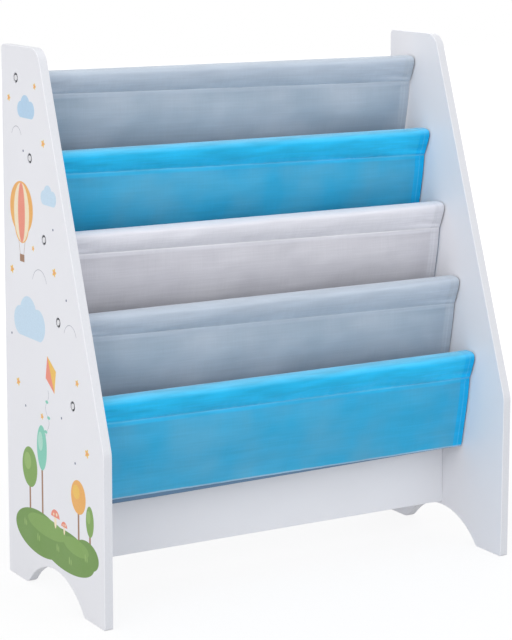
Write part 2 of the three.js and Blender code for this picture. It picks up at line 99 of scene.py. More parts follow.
# Lower board and its joints
BOARD_FRONT = -0.003
BOARD_BACK = 0.009
BOARD_MIDDLE = 0.003
BOARD_BOTTOM = 0.045
BOARD_TOP = 0.195
BOARD_END = 0.2977
BOARD_CORNER_RADIUS = 0.0004
DOWEL_RADIUS = 0.003
DOWEL_HEIGHTS = (0.070, 0.170)
DOWEL_BITE = 0.008
DOWEL_REACH = 0.022
CAM_INSET = 0.024
CAM_X = BOARD_END - CAM_INSET
CAM_HEIGHT = 0.120
CAM_RADIUS = 0.0057
CAM_DEPTH = 0.009
CAM_CHAMFER = 0.0002
CAM_FACE_CHAMFER = 0.0003
CAM_CROWN = 0.0032  # how far below the cam's face its slot for the bolt ends
CAM_CROSS_HALF_LENGTH = 0.0035
CAM_CROSS_HALF_WIDTH = 0.0006
CAM_CROSS_DEPTH = 0.0015
CAM_BOLT_RADIUS = 0.0025
CAM_BOLT_BITE = 0.008
CAM_NECK_RADIUS = 0.0015
CAM_BOLT_HEAD = 0.0026

# Slings. A place in a section is (depth, height) from the rod's centre.
SLINGS = {
    "top_grey": "grey", "upper_blue": "blue", "white": "white", "lower_grey": "grey",
    "lower_blue": "blue",
}
CLOTH_EDGE = 0.296
CLOTH = 0.0008
HEM_WIDTH = 0.015
HEM_BUILD = 0.0006  # what the folded side hem adds to the cloth's thickness
HEM_STEP = 0.001  # width over which it is added
LAYER_GAP = 0.00015
SEAM = np.array([-0.0075, -0.031])
BOTTOM = np.array([0.009, -0.131])
# How much higher each casing's seam sits at the left end and at the right end
SEAM_LIFTS = [(0.009, 0.002), (0.0094, 0.001), (0.0107, 0.0017), (0.0096, 0.0), (0.0056, 0.001)]
LIFT_PUFF = -0.25  # how much of that goes into the casing's bulge
FRONT_FLAT = 0.034  # flat length of a casing's front at the right end
WALL_FLAT = 0.1015  # flat length of a pocket's front, from seam to bottom
HUG = 0.0069  # radius at which the cloth goes round the rod
CASING_PUFF = 0.019
CASING_PUFF_SWELL = 0.003
# Handles of the casing's curves, each at the panels and what mid-width adds: as shares of the
# bulge, and then as shares of HUG
OVER_REACH_SHARES = (0.78, -0.2)
OVER_RISE_SHARE = 1.06
TIP_RISE_SHARES = (0.72, -0.15)
TIP_DROP_SHARES = (-0.6, -0.9)
SEAM_REACH_SHARES = (-0.5, -0.6)
SEAM_RISE_SHARES = (1.0, 0.3)
TAIL = 0.005
FLAP = 0.0055
LEAST_FLAP = 0.0007
FLAP_TAPER_SHARES = (-0.64, 0.84)  # of the half width, where the flap gets shorter
BELLY = 0.005
BACK_SAG = 0.004
FOLD_HEIGHT = 0.0016
FOLD_COUNTS = [2.5, 3.5, 3, 4, 3.5]
CROWN_POWER = 4
STEPS = {"tail": 3, "back": 9, "wrap": 9, "over": 10, "front": 18, "wall": 38, "rear": 28, "flap": 4}
SEAM_CROWDING = 1.5  # how much closer the front's rows lie near the seam
WALL_CROWDING = 0.11  # and the wall's rows near both its ends
STATION_STEP = 0.003
# Stations near a cloth's side, from its edge, and where the even ones start
HEM_STATIONS = np.array(
    [0, 0.0004, 0.001, 0.002, 0.0035, 0.006, 0.009, 0.012, 0.0138, 0.0146, 0.0154, 0.017]
)
EVEN_START = 0.0195

# Relief of the cloth
RIPPLE_GAIN = 1.8
HELD_REACH = 0.03  # from a cloth's side, over which its waves grow
PINNED_REACH = 0.008  # the same for the creases
CALM_ROWS = 8  # rows beside a sewn line that have smaller waves
PUCKER_HEIGHT = 0.0004
PUCKER_REACH = 0.014
PUCKER_START = -0.02  # above the casing seam
WAVE_HEIGHT = 0.0011
# Pitch across the cloth, pitches down it, share and seeds of the coarse and the finer layer
PUCKERS = {"pitch": 0.011, "runs": (0.05, 0.03), "finer": 0.5, "seeds": (3.1, 8.7)}
WAVES = {"pitch": 0.075, "runs": (0.0525, 0.0225), "finer": 0.45, "seeds": (15.3, 22.9), "lean": 1.0}
SEAM_RISE = 0.0004
CREASE_WIDTH = 0.0015
# Creases at the ends of a casing seam: place below the seam at the hem, slope, height and reach
END_CREASES = [
    (-0.0034, -0.03, -0.0013, 0.035), (-0.0066, -0.10, 0.0010, 0.04), (-0.0105, -0.22, -0.0012, 0.04),
    (0.0036, 0.03, -0.0008, 0.04), (0.0075, 0.10, 0.0007, 0.05), (0.0125, 0.22, -0.0005, 0.05),
]

# Stitches
STITCH_PITCH = 0.0032
STITCH_LENGTH = 0.0024
STITCH_RADIUS = 0.00028
STITCH_SIDES = 6
STITCH_POINTS = 4  # sampled places to a stitch
LEAST_RUN = 1e-6  # a stitch shorter than this is left out
# A stitch's rings: share of its length, share of its radius, radii above the cloth
STITCH_RINGS = ((0.0, 0.35, -0.9), (0.3, 1.0, 0.35), (0.7, 1.0, 0.35), (1.0, 0.35, -0.9))
ROW_MARGIN = 0.002  # from the cloth's sides to the ends of a row
COLUMN_MARGIN = 0.001
HEM_ROW = 0.0022  # from either edge of the side hem
SEAM_ROW = -0.0002  # places of the rows, down from the seam or the bottom
TACK_ROWS = (-0.0016, 0.0012)  # second rows that hold the ends of the casing seam
TACK_LENGTH = 0.012
BOTTOM_ROW = -0.0035

# Colours of surfaces are 8-bit numbers of a picture
PANEL_WHITE = (238, 238, 242)
BOARD_WHITE = (238, 239, 243)
# a darker white on the panels' edges: painted shade that tones down how bright the edges come out
PANEL_EDGE_SHADED_WHITE = (221, 222, 226)
EDGE_BLEND = 0.0004  # width over which a panel's face turns into the painted shade of its edge
CAP_WHITE = (232, 232, 234)
BEECH = ((201, 164, 116), (226, 196, 152))
# Colour, roughness and brushing of each metal
METALS = {
    "rod_steel": ((190, 192, 196), 0.34, (8.0, 900.0, 900.0)),
    "bolt_steel": ((58, 60, 66), 0.42, (300.0, 300.0, 300.0)),
    "zinc": ((168, 170, 174), 0.45, (400.0, 400.0, 400.0)),
}

# The panels' print, in millimetres and degrees: u from the back edge, v up
MM_PER_M = 1000.0
INK_EDGE = 0.5
LEAF = (128, 166, 84)
GRASS = (112, 150, 72)
MOSS = (150, 184, 104)
MINT = (134, 208, 186)
PALE_MINT = (176, 224, 206)
ORANGE = (241, 178, 96)
GOLD = (243, 196, 92)
CREAM = (249, 233, 200)
CORAL = (240, 146, 124)
BARK = (160, 120, 92)
SKY = (203, 226, 243)
SKY_DEEP = (184, 214, 238)
PENCIL = (150, 150, 164)
NAVY = (72, 82, 118)
CLOUDS = ((76, 352, 46, SKY), (138, 522, 22, SKY), (74, 628, 25, SKY_DEEP))
ARCS = ((108, 405, 22), (44, 590, 15), (196, 352, 18))
ARC_HALF_WIDTH = 0.4
ARC_START = 0.3  # share of its radius above its middle
TREES = (  # u, foot, crown, half width, half height, leaves, light
    (70, 97, 160, 23, 27, LEAF, MOSS), (108, 95, 194, 15, 30, MINT, PALE_MINT),
    (214, 89, 154, 21, 22, ORANGE, GOLD), (246, 91, 130, 11, 20, LEAF, MOSS),
)
TRUNK_HALF_WIDTH = 2.4
HILLS = ((98, 77, 74, 30), (176, 74, 82, 27), (236, 84, 34, 19))
HILL_LIGHTS = ((120, 91, 58, 13), (206, 87, 36, 11))
GRASS_TUFTS = ((52, 82), (92, 71), (150, 72), (186, 64), (232, 80))
GRASS_BLADES = ((0, 0, 1.4, 5), (5, -1, 1.2, 4))
TOADSTOOLS = ((146, 106, 13), (172, 101, 9))
BALLOON = (56, 500, 35)
ROPE_HALF_WIDTH = 0.5
ROPE_TURN = 14
KITE = (138, 296)
KITE_TURN = -24
KITE_HALF_SIZE = (17, 25)
KITE_LINE = {"shift": 12.0, "swing": 5.0, "wave": 0.17, "half_width": 0.45, "top": 22, "end": 84}
KITE_BOWS = ((38, -13), (58, -8), (78, -17))
KITE_BOW_SIZE = (4.5, 2.2)
FLOWERS = (
    (22, 640, 5), (101, 660, 4.5), (124, 590, 5.5), (24, 416, 6), (152, 430, 6),
    (38, 268, 6), (214, 300, 5), (240, 216, 6), (110, 236, 4.5), (90, 452, 4),
)
DOTS = ((64, 575), (150, 484), (186, 400), (20, 330), (168, 246), (60, 240), (206, 196))
DOT_RADIUS = 1.7
# Parts of a motif, as shares of its size: aside, up, half width and half height
CLOUD_PUFFS = ((-0.62, 0, 0.42, 0.42), (-0.08, 0.18, 0.58, 0.58), (0.56, 0.02, 0.46, 0.46))
CLOUD_BASE = (0, -0.26, 0.66, 0.16)
CLOUD_FLAT = -0.42  # the share up at which a cloud is cut off
TREE_LIGHT = (-0.28, 0.26, 0.46, 0.42)
TOADSTOOL_STEM = (0, 0, 0.28, 0.75)
TOADSTOOL_CAP = (0, 0.3, 1, 0.85)
TOADSTOOL_FLAT = 0.35
TOADSTOOL_SPOTS = ((-0.35, 0.62, 0.14, 0.14), (0.3, 0.7, 0.17, 0.17))
BALLOON_ROPE = (0.22, -1.45, 0.36)  # without its width
BALLOON_BASKET = (0, -1.86, 0.2, 0.14)
BALLOON_LOWER = (0, -0.62, 0.62, 0.68)
BALLOON_STRIPES = (((0, -0.16, 0.66, 1.1), CREAM), ((0, -0.16, 0.3, 1.12), CORAL))
FLOWER_HEART = 0.3
PETALS = 5
PETAL_SHARE = 0.2  # of a flower's radius, by which its outline swings

# Cloth. Body is the single layer of a pocket's walls, sheer its thinner places; dense is the casing;
# light is the tone of the painted highlights and of the turned-in hem edge; the last tone is painted
# shade.
FABRICS = {
    "grey": {
        "body": (162, 178, 193), "sheer": (178, 190, 203), "dense": (184, 196, 210),
        "hem": (184, 195, 207), "light": (208, 216, 224), "flap_shade": (100, 130, 158),
        "seam_highlight_share": 0.3, "edge_highlight_share": 0.0, "crest_highlight_share": 0.25, "clouds": (-0.05, 0.05),
    },
    "blue": {
        "body": (52, 172, 218), "sheer": (84, 173, 211), "dense": (40, 190, 241),
        "hem": (6, 182, 244), "light": (122, 208, 240), "flap_shade": (40, 120, 166),
        "seam_highlight_share": 0.4, "edge_highlight_share": 0.55, "crest_highlight_share": 0.6, "clouds": (-0.14, 0.1),
    },
    "white": {
        "body": (203, 202, 209), "sheer": (213, 212, 218), "dense": (228, 228, 235),
        "hem": (220, 221, 228), "light": (240, 240, 243), "flap_shade": (168, 170, 182),
        "seam_highlight_share": 0.65, "edge_highlight_share": 0.0, "crest_highlight_share": 0.1, "clouds": (-0.03, 0.02),
    },
}
TONES = ("body", "sheer", "dense", "hem", "light", "flap_shade")
WEAVE_PITCH = 0.0009
SHARP_STEP = 0.0003  # half width of a sharp change of tone
TAIL_STEP = (TAIL - 0.001, TAIL + 0.0015)  # where the tail behind the wall ends
TAIL_SHARE = 0.45  # of the change from casing to single layer, at the seam
SEAM_LINE = 0.0014  # half width of the drawn-up cloth along the casing seam, and of the highlight painted on it
HEM_FOLD = 0.0078  # turned-in edge that shows through the side hem, from the cloth's end
HEM_FOLD_STEP = (0.0004, 0.0012)
HEM_FOLD_SHARE = 0.25
HEM_SHARE = 0.55  # of the hem's tone that ends sharply
HEM_FADE = 0.009  # past the hem, where the rest ends
CREST_HIGHLIGHT_STEPS = ((-0.032, -0.042), (-0.068, -0.058))  # where a highlight is painted on the casing's top, up from the seam
LAST_EDGE_STEP = (0.0990, 0.0998)  # where the painted highlight on the lowest sling's lower edge starts, down from the seam
# pale tone of that painted highlight
EDGE_HIGHLIGHT_TONE = (196, 208, 222)
FLAP_SHADE_STEP = (0.2088, 0.2092)  # where the painted shade on the free edge behind the next sling starts
CLOUD_SHARE = 0.3  # of the clouds in the single layer
THREAD_LIGHT = 0.18

# Camera, fitted to the photograph
CAMERA_PLACE = (-1.450, -2.432, 0.901)
CAMERA_YAW = math.radians(-30.63)
CAMERA_PITCH = math.radians(-9.56)
CAMERA_ROLL = math.radians(0.15)
CAMERA_LENS = 121.3
CAMERA_SENSOR = 36
CAMERA_SHIFT_Y = -0.1

# Studio
FLOOR_REACH = 8
FLOOR_COLOUR = (206, 206, 208)
FLOOR_GLOW = 1.12
FLOOR_GLOW_SHARE = 0.76  # near the shelf, where its shadow shows
FLOOR_NEAR = 0.5
FLOOR_FAR = 1.8
WHITE_LIGHT = (1, 1, 1, 1)
WORLD_TINT = (0.97, 0.98, 1.0, 1)
WORLD_LIGHT = 0.95
WORLD_LIGHT_BEHIND = 0.58
WORLD_FRONT = (-0.3, -0.93, 0.2)
WORLD_BLEND = 0.6
LAMPS = {  # place, size and power
    "overhead": ((-0.2, 0.0, 2.6), 1.8, 8),
    "left_front": ((-2.4, -1.6, 1.3), 2.0, 18),
    "front": ((0.7, -2.8, 0.9), 2.0, 8),
    "back_right": ((2.3, 1.7, 1.5), 2.0, 12),
}
LAMP_AIM = Vector((0, 0, 0.35))


def srgb(red, green, blue):
    """A shader colour from the 8-bit numbers of a picture."""
    def linear(level):
        share = level / 255
        return share / 12.92 if share <= 0.04045 else ((share + 0.055) / 1.055) ** 2.4
    return (linear(red), linear(green), linear(blue), 1.0)


class Net:
    """Builds the node tree of a new material, or of the world, with short calls."""

    def __init__(self, name, owner=None):
        self.owner = owner or bpy.data.materials.new(name)
        self.owner.use_nodes = True
        self.tree = self.owner.node_tree
        self.tree.nodes.clear()

    def put(self, socket, value):
        if isinstance(value, bpy.types.NodeSocket):
            self.tree.links.new(value, socket)
        elif socket.type == "VECTOR":
            socket.default_value = tuple(value)[:3]
        else:
            socket.default_value = value

    def add(self, kind, inputs=(), **settings):
        node = self.tree.nodes.new(f"ShaderNode{kind}")
        for key, value in settings.items():
            setattr(node, key, value)
        for key, value in dict(inputs).items():
            self.put(node.inputs[key], value)
        return node

    def math(self, operation, *values, clamp=False):
        return self.add("Math", enumerate(values), operation=operation, use_clamp=clamp).outputs[0]

    plus = partialmethod(math, "ADD")
    minus = partialmethod(math, "SUBTRACT")
    larger = partialmethod(math, "MAXIMUM")
    smaller = partialmethod(math, "MINIMUM")
    absolute = partialmethod(math, "ABSOLUTE")
    sine = partialmethod(math, "SINE")

    def times(self, first, second, plus=0.0, clamp=False):
        return self.math("MULTIPLY_ADD", first, second, plus, clamp=clamp)

    def vector(self, operation, *values):
        node = self.add("VectorMath", enumerate(values), operation=operation)
        return node.outputs["Value" if operation in ("LENGTH", "DISTANCE", "DOT_PRODUCT") else "Vector"]

    def parts(self, vector):
        return self.add("SeparateXYZ", {0: vector}).outputs

    def mix(self, factor, first, second):
        return self.add("Mix", {0: factor, 6: first, 7: second}, data_type="RGBA").outputs[2]

    def ramp(self, value, low, high, to_low=0.0, to_high=1.0):
        inputs = {"Value": value, 1: low, 2: high, 3: to_low, 4: to_high}
        return self.add("MapRange", inputs).outputs[0]

    def noise(self, point, scale, detail=2.0):
        """Noise around 0.5. scale is a number, or one for each axis."""
        if isinstance(scale, tuple):
            point, scale = self.vector("MULTIPLY", point, scale), 1.0
        return self.add("TexNoise", {"Vector": point, "Scale": scale, "Detail": detail}).outputs[0]

    def spread(self, value, low, high, least=0.3, most=0.7):
        """Noise brought from its usual range to another."""
        return self.ramp(value, least, most, low, high)

    def place(self):
        return self.add("TexCoord").outputs["Object"]

    def scaled(self, colour, level):
        return self.add("VectorMath", {0: colour, "Scale": level}, operation="SCALE").outputs["Vector"]

    def bump(self, height, distance, strength):
        inputs = {"Height": height, "Distance": distance, "Strength": strength}
        return self.add("Bump", inputs).outputs[0]

    def show(self, shader, kind="OutputMaterial"):
        self.add(kind, {0: shader.outputs[0]})
        return self.owner

    def surface(self, **inputs):
        names = {key.replace("_", " ").title().replace("Ior", "IOR"): inputs[key] for key in inputs}
        return self.show(self.add("BsdfPrincipled", names))

    def glowing(self, lit, shown, share=1.0, kind="OutputMaterial"):
        """lit for the light that the shelf gets, shown for what the picture and its gloss see."""
        path = self.add("LightPath").outputs
        seen = self.larger(path["Is Camera Ray"], path["Is Glossy Ray"])
        seen = self.times(self.larger(seen, path["Is Transmission Ray"]), share)
        return self.show(self.add("MixShader", {0: seen, 1: lit.outputs[0], 2: shown.outputs[0]}), kind)


class Print(Net):
    """Paints flat shapes on the panels' outer faces, each given by its distance field."""

    def __init__(self, name):
        super().__init__(name)
        x, y, z = self.parts(self.place())
        self.across = self.times(y, -MM_PER_M, HALF_DEPTH * MM_PER_M)
        self.up = self.times(z, MM_PER_M)
        self.side = self.absolute(x)
        self.point = self.add("CombineXYZ", {0: self.across, 1: self.up}).outputs[0]
        self.colour = srgb(*PANEL_WHITE)
        self.ink = 0.0

    def turned(self, centre, degrees):
        inputs = {"Vector": self.point, "Center": (*centre, 0), "Angle": math.radians(degrees)}
        return self.add("VectorRotate", inputs, rotation_type="Z_AXIS").outputs[0]

    def away(self, u, v, point=None):
        return self.vector("SUBTRACT", point or self.point, (u, v, 0))

    def oval(self, u, v, half_width, half_height):
        far = self.vector("MULTIPLY", self.away(u, v), (1 / half_width, 1 / half_height, 0))
        least = min(half_width, half_height)
        return self.times(self.vector("LENGTH", far), least, -least)

    def disc(self, u, v, radius):
        return self.oval(u, v, radius, radius)

    def bar(self, u, v, half_width, half_height, point=None):
        far = self.vector("ABSOLUTE", self.away(u, v, point))
        sides = self.parts(self.vector("SUBTRACT", far, (half_width, half_height, 0)))
        return self.larger(sides[0], sides[1])

    def diamond(self, u, v, half_width, half_height, point):
        far = self.vector("ABSOLUTE", self.away(u, v, point))
        sides = self.parts(self.vector("MULTIPLY", far, (1 / half_width, 1 / half_height, 0)))
        least = min(half_width, half_height)
        return self.times(self.plus(sides[0], sides[1]), least, -least)

    def flower(self, u, v, radius):
        away = self.away(u, v)
        sides = self.parts(away)
        turn = self.math("ARCTAN2", sides[1], sides[0])
        lobes = self.math("COSINE", self.times(turn, PETALS))
        edge = self.times(lobes, -PETAL_SHARE * radius, (PETAL_SHARE - 1) * radius)
        return self.plus(self.vector("LENGTH", away), edge)

    def union(self, *shapes):
        return reduce(self.smaller, shapes)

    def above(self, shape, v):
        return self.larger(shape, self.minus(v, self.up))

    def below(self, shape, v):
        return self.larger(shape, self.minus(self.up, v))

    def outline(self, shape, half_width):
        return self.minus(self.absolute(shape), half_width)

    def paint(self, shape, colour):
        cover = self.times(shape, -1 / INK_EDGE, 0.5, clamp=True)
        self.colour = self.mix(cover, self.colour, srgb(*colour))
        self.ink = self.larger(self.ink, cover)


def part_of(motif, shares):
    """Middle and half sizes of a motif's part, from the same four of the whole."""
    u, v, width, height = motif
    aside, up, half_width, half_height = shares
    return u + width * aside, v + height * up, width * half_width, height * half_height


def paint_sky(art):
    for u, v, size, colour in CLOUDS:
        cloud = (u, v, size, size)
        puffs = [art.oval(*part_of(cloud, puff)) for puff in CLOUD_PUFFS]
        shape = art.union(*puffs, art.bar(*part_of(cloud, CLOUD_BASE)))
        art.paint(art.above(shape, v + size * CLOUD_FLAT), colour)
    for u, v, radius in ARCS:
        arc = art.outline(art.disc(u, v, radius), ARC_HALF_WIDTH)
        art.paint(art.above(arc, v + radius * ARC_START), PENCIL)


def paint_meadow(art):
    for u, foot, crown, width, height, leaves, light in TREES:
        art.paint(art.bar(u, (foot + crown) / 2, TRUNK_HALF_WIDTH, (crown - foot) / 2), BARK)
        tree = (u, crown, width, height)
        art.paint(art.oval(*tree), leaves)
        art.paint(art.oval(*part_of(tree, TREE_LIGHT)), light)
    art.paint(art.union(*(art.oval(*hill) for hill in HILLS)), GRASS)
    for hill in HILL_LIGHTS:
        art.paint(art.oval(*hill), LEAF)
    for u, v in GRASS_TUFTS:
        for aside, up, width, height in GRASS_BLADES:
            art.paint(art.oval(u + aside, v + up, width, height), MOSS)
    for u, v, size in TOADSTOOLS:
        toadstool = (u, v, size, size)
        art.paint(art.oval(*part_of(toadstool, TOADSTOOL_STEM)), CREAM)
        cap = art.oval(*part_of(toadstool, TOADSTOOL_CAP))
        art.paint(art.above(cap, v + size * TOADSTOOL_FLAT), CORAL)
        for spot in TOADSTOOL_SPOTS:
            art.paint(art.oval(*part_of(toadstool, spot)), CREAM)


def paint_balloon(art, u, v, radius):
    aside, up, half_length = (share * radius for share in BALLOON_ROPE)
    for side in (-1, 1):
        middle = (u + side * aside, v + up)
        rope = art.bar(*middle, ROPE_HALF_WIDTH, half_length, art.turned(middle, side * ROPE_TURN))
        art.paint(rope, BARK)
    balloon = (u, v, radius, radius)
    art.paint(art.bar(*part_of(balloon, BALLOON_BASKET)), BARK)
    art.paint(art.union(art.oval(*balloon), art.oval(*part_of(balloon, BALLOON_LOWER))), ORANGE)
    for stripe, colour in BALLOON_STRIPES:
        art.paint(art.oval(*part_of(balloon, stripe)), colour)


def paint_kite(art, u, v):
    point = art.turned((u, v), KITE_TURN)
    kite = art.diamond(u, v, *KITE_HALF_SIZE, point)
    art.paint(kite, CORAL)
    art.paint(art.larger(kite, art.minus(u, art.parts(point)[0])), GOLD)
    wave = art.sine(art.times(art.up, KITE_LINE["wave"]))
    swing = art.times(wave, KITE_LINE["swing"], u - KITE_LINE["shift"])
    line = art.outline(art.minus(art.across, swing), KITE_LINE["half_width"])
    art.paint(art.below(art.above(line, v - KITE_LINE["end"]), v - KITE_LINE["top"]), PENCIL)
    for drop, shift in KITE_BOWS:
        art.paint(art.oval(u + shift, v - drop, *KITE_BOW_SIZE), MINT)


def lacquered(net, white):
    """Sprayed lacquer: its colour, gloss, normal and fine grain."""
    place = net.place()
    grain = net.noise(place, 420.0)
    mottle = net.spread(net.noise(place, 9.0, 3.0), 0.985, 1.012, 0.25, 0.75)
    gloss = net.spread(net.noise(place, 30.0, 3.0), 0.34, 0.42)
    peel = net.times(grain, 0.35, net.noise(place, 90.0, 1.0))
    return net.scaled(srgb(*white), mottle), gloss, net.bump(peel, 0.00012, 0.35), grain


def panel_material():
    art = Print("printed_panel_lacquer")
    ground, gloss, normal, grain = lacquered(art, PANEL_WHITE)
    art.colour = ground
    paint_sky(art)
    paint_meadow(art)
    paint_balloon(art, *BALLOON)
    paint_kite(art, *KITE)
    for u, v, radius in FLOWERS:
        art.paint(art.flower(u, v, radius), GOLD)
        art.paint(art.disc(u, v, radius * FLOWER_HEART), CORAL)
    for u, v in DOTS:
        art.paint(art.disc(u, v, DOT_RADIUS), NAVY)
    middle = (OUTER_FACE + INNER_FACE) / 2
    band_half = OUTER_FACE - PANEL_EASING - middle
    off_middle = art.absolute(art.minus(art.side, middle))
    # painted shade on the panels' edges
    edge_shade_mask = art.ramp(off_middle, band_half, band_half + EDGE_BLEND, 1.0, 0.0)
    edge = art.scaled(srgb(*PANEL_EDGE_SHADED_WHITE), art.spread(grain, 0.98, 1.01))
    outside = art.math("GREATER_THAN", art.side, OUTER_FACE - SHARP_STEP / 3)
    ink = art.times(art.ink, outside)
    inked = art.scaled(art.colour, art.spread(grain, 0.97, 1.03))
    colour = art.mix(ink, art.mix(edge_shade_mask, ground, edge), inked)
    return art.surface(base_color=colour, roughness=art.times(ink, 0.12, gloss), normal=normal)


def lacquer_material():
    net = Net("plain_lacquer")
    colour, gloss, normal, _ = lacquered(net, BOARD_WHITE)
    return net.surface(base_color=colour, roughness=gloss, normal=normal)


def metal_material(name):
    colour, roughness, brushing = METALS[name]
    net = Net(name)
    place = net.place()
    streaks = net.noise(place, brushing, 3.0)
    shade = net.scaled(srgb(*colour), net.spread(net.noise(place, 260.0, 3.0), 0.9, 1.08))
    rough = net.spread(streaks, roughness - 0.07, roughness + 0.09)
    normal = net.bump(streaks, 0.00005, 0.4)
    return net.surface(base_color=shade, metallic=1.0, roughness=rough, normal=normal)


def plastic_material():
    net = Net("cap_plastic")
    place = net.place()
    cloudy = net.noise(place, 350.0)
    colour = net.scaled(srgb(*CAP_WHITE), net.spread(cloudy, 0.97, 1.02))
    rough = net.spread(net.noise(place, 900.0), 0.4, 0.52)
    return net.surface(base_color=colour, roughness=rough, normal=net.bump(cloudy, 0.00005, 0.3))


def beech_material():
    net = Net("beech")
    grain = net.noise(net.place(), (14.0, 380.0, 380.0), 4.0)
    colour = net.mix(net.spread(grain, 0.0, 1.0), *(srgb(*tone) for tone in BEECH))
    return net.surface(base_color=colour, roughness=0.62, normal=net.bump(grain, 0.0001, 0.5))


def fabric_material(name):
    """Woven cloth, drawn on the flat sheet: u in metres from mid-width, v down from the casing seam."""
    look = FABRICS[name]
    body, sheer, dense, hem_tone, light, flap_shade = (srgb(*look[tone]) for tone in TONES)
    net = Net(f"{name}_cloth")
    flat = net.add("UVMap", uv_map="cloth").outputs[0]
    across, down, _ = net.parts(flat)
    into = net.minus(CLOTH_EDGE, net.absolute(across))

    single = net.times(net.ramp(down, -SHARP_STEP, SHARP_STEP), TAIL_SHARE)
    single = net.times(net.ramp(down, *TAIL_STEP), 1 - TAIL_SHARE, single)
    hem = net.times(net.ramp(into, HEM_WIDTH - SHARP_STEP, HEM_WIDTH + SHARP_STEP, 1.0, 0.0), HEM_SHARE)
    hem = net.times(net.ramp(into, 0.0, HEM_WIDTH + HEM_FADE, 1.0, 0.0), 1 - HEM_SHARE, hem)
    # painted highlight along the casing seam, where its ridge catches the light
    seam = net.ramp(net.absolute(down), SEAM_LINE / 2, SEAM_LINE * 1.5, look["seam_highlight_share"], 0.0)
    # painted highlight along the lowest sling's lower edge
    rim = net.ramp(down, *LAST_EDGE_STEP, 0.0, look["edge_highlight_share"])
    fold = net.absolute(net.minus(into, HEM_FOLD))
    fold = net.ramp(fold, *HEM_FOLD_STEP, HEM_FOLD_SHARE, 0.0)
    # painted highlight along each casing's top, where it faces the light
    crest_highlight = net.times(*(net.ramp(down, *step) for step in CREST_HIGHLIGHT_STEPS))

    mottle = net.spread(net.noise(net.place(), 13.0), 0.0, 1.0, 0.34, 0.68)
    colour = net.mix(single, dense, net.mix(mottle, body, sheer))
    colour = net.mix(hem, colour, hem_tone)
    colour = net.mix(net.times(crest_highlight, look["crest_highlight_share"]), colour, light)
    # painted seam highlight, and the turned-in hem edge's own lighter tone
    colour = net.mix(net.larger(seam, net.times(fold, hem)), colour, light)
    colour = net.mix(rim, colour, srgb(*EDGE_HIGHLIGHT_TONE))
    # painted shade on the free edge tucked behind the next sling
    colour = net.mix(net.ramp(down, *FLAP_SHADE_STEP), colour, flap_shade)

    turn = 2 * math.pi / WEAVE_PITCH
    weave = net.times(*(net.sine(net.times(run, turn)) for run in (across, down)))
    slub = net.plus(net.noise(flat, (26.0, 1500.0, 0.0)), net.noise(flat, (1500.0, 26.0, 0.0)))
    streaks = net.noise(flat, (9.0, 330.0, 0.0), 3.0)
    clouds = net.noise(flat, (11.0, 75.0, 0.0), 3.0)
    ribs = net.noise(flat, (430.0, 6.0, 0.0))
    level = net.plus(net.spread(slub, -0.05, 0.05, 0.6, 1.4), net.spread(streaks, 0.965, 1.035))
    level = net.times(weave, 0.02, level)
    cloudy = net.spread(clouds, *look["clouds"], 0.33, 0.62)
    cloudy = net.times(cloudy, net.times(single, CLOUD_SHARE - 1, 1.0), 1.0)
    ribbed = net.times(net.spread(ribs, -0.05, 0.05), hem, 1.0)
    level = net.times(net.times(level, cloudy), ribbed)
    height = net.times(slub, 0.8, net.times(weave, 0.5))
    return net.surface(
        base_color=net.scaled(colour, level),
        roughness=net.spread(slub, 0.55, 0.68, 0.6, 1.4),
        specular_ior_level=0.15,
        sheen_weight=0.5,
        sheen_roughness=0.32,
        sheen_tint=WHITE_LIGHT,
        normal=net.bump(height, 0.00016, 0.45),
    )


def thread_material(name):
    net = Net(f"{name}_thread")
    lighter = srgb(*(level + (255 - level) * THREAD_LIGHT for level in FABRICS[name]["dense"]))
    twist = net.noise(net.place(), 2600.0)
    colour = net.scaled(lighter, net.spread(twist, 0.9, 1.06))
    normal = net.bump(twist, 0.0001, 0.5)
    return net.surface(base_color=colour, roughness=0.6, sheen_weight=0.3, normal=normal)


def floor_material():
    net = Net("floor")
    place = net.place()
    cloudy = net.spread(net.noise(place, 3.0), 0.99, 1.01, 0.2, 0.8)
    diffuse = net.add("BsdfDiffuse", {0: net.scaled(srgb(*FLOOR_COLOUR), cloudy)})
    glow = net.add("Emission", {"Color": WHITE_LIGHT, "Strength": FLOOR_GLOW})
    far = net.ramp(net.vector("LENGTH", place), FLOOR_NEAR, FLOOR_FAR, FLOOR_GLOW_SHARE, 1.0)
    return net.glowing(diffuse, glow, far)


def mesh_of(points, faces, smooth=True):
    mesh = bpy.data.meshes.new("mesh")
    mesh.from_pydata([tuple(p) for p in points], [], [tuple(f) for f in faces])
    mesh.update()
    if smooth:
        mesh.shade_smooth()
    return mesh


def linked(name, data):
    obj = bpy.data.objects.new(name, data)
    bpy.context.collection.objects.link(obj)
    return obj


def piece(name, mesh, material, slot, *nodes):
    """A shown piece that rides on the shelf and stands for CAD nodes."""
    obj = linked(name, mesh)
    mesh.name = name
    mesh.materials.append(material)
    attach(obj, "root")
    if nodes:
        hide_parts(*nodes)
    return obj


def crisp(obj):
    """Smooth shading with sharp creases, and flat faces that stay flat."""
    obj.data.set_sharp_from_angle(angle=SHARP_ANGLE)
    keep = obj.modifiers.new("flat_faces", "WEIGHTED_NORMAL")
    keep.keep_sharp = True


def cut(body, *tools):
    """body with each tool's mesh taken out of it in turn."""
    base = linked("base", body)
    others = [linked("tool", tool) for tool in tools]
    for obj in others:
        taken = base.modifiers.new("cut", "BOOLEAN")
        taken.operation = "DIFFERENCE"
        taken.solver = "EXACT"
        taken.object = obj
    shown = base.evaluated_get(bpy.context.evaluated_depsgraph_get())
    result = bpy.data.meshes.new_from_object(shown)
    for obj in (base, *others):
        bpy.data.objects.remove(obj)
    result.shade_smooth()
    return result


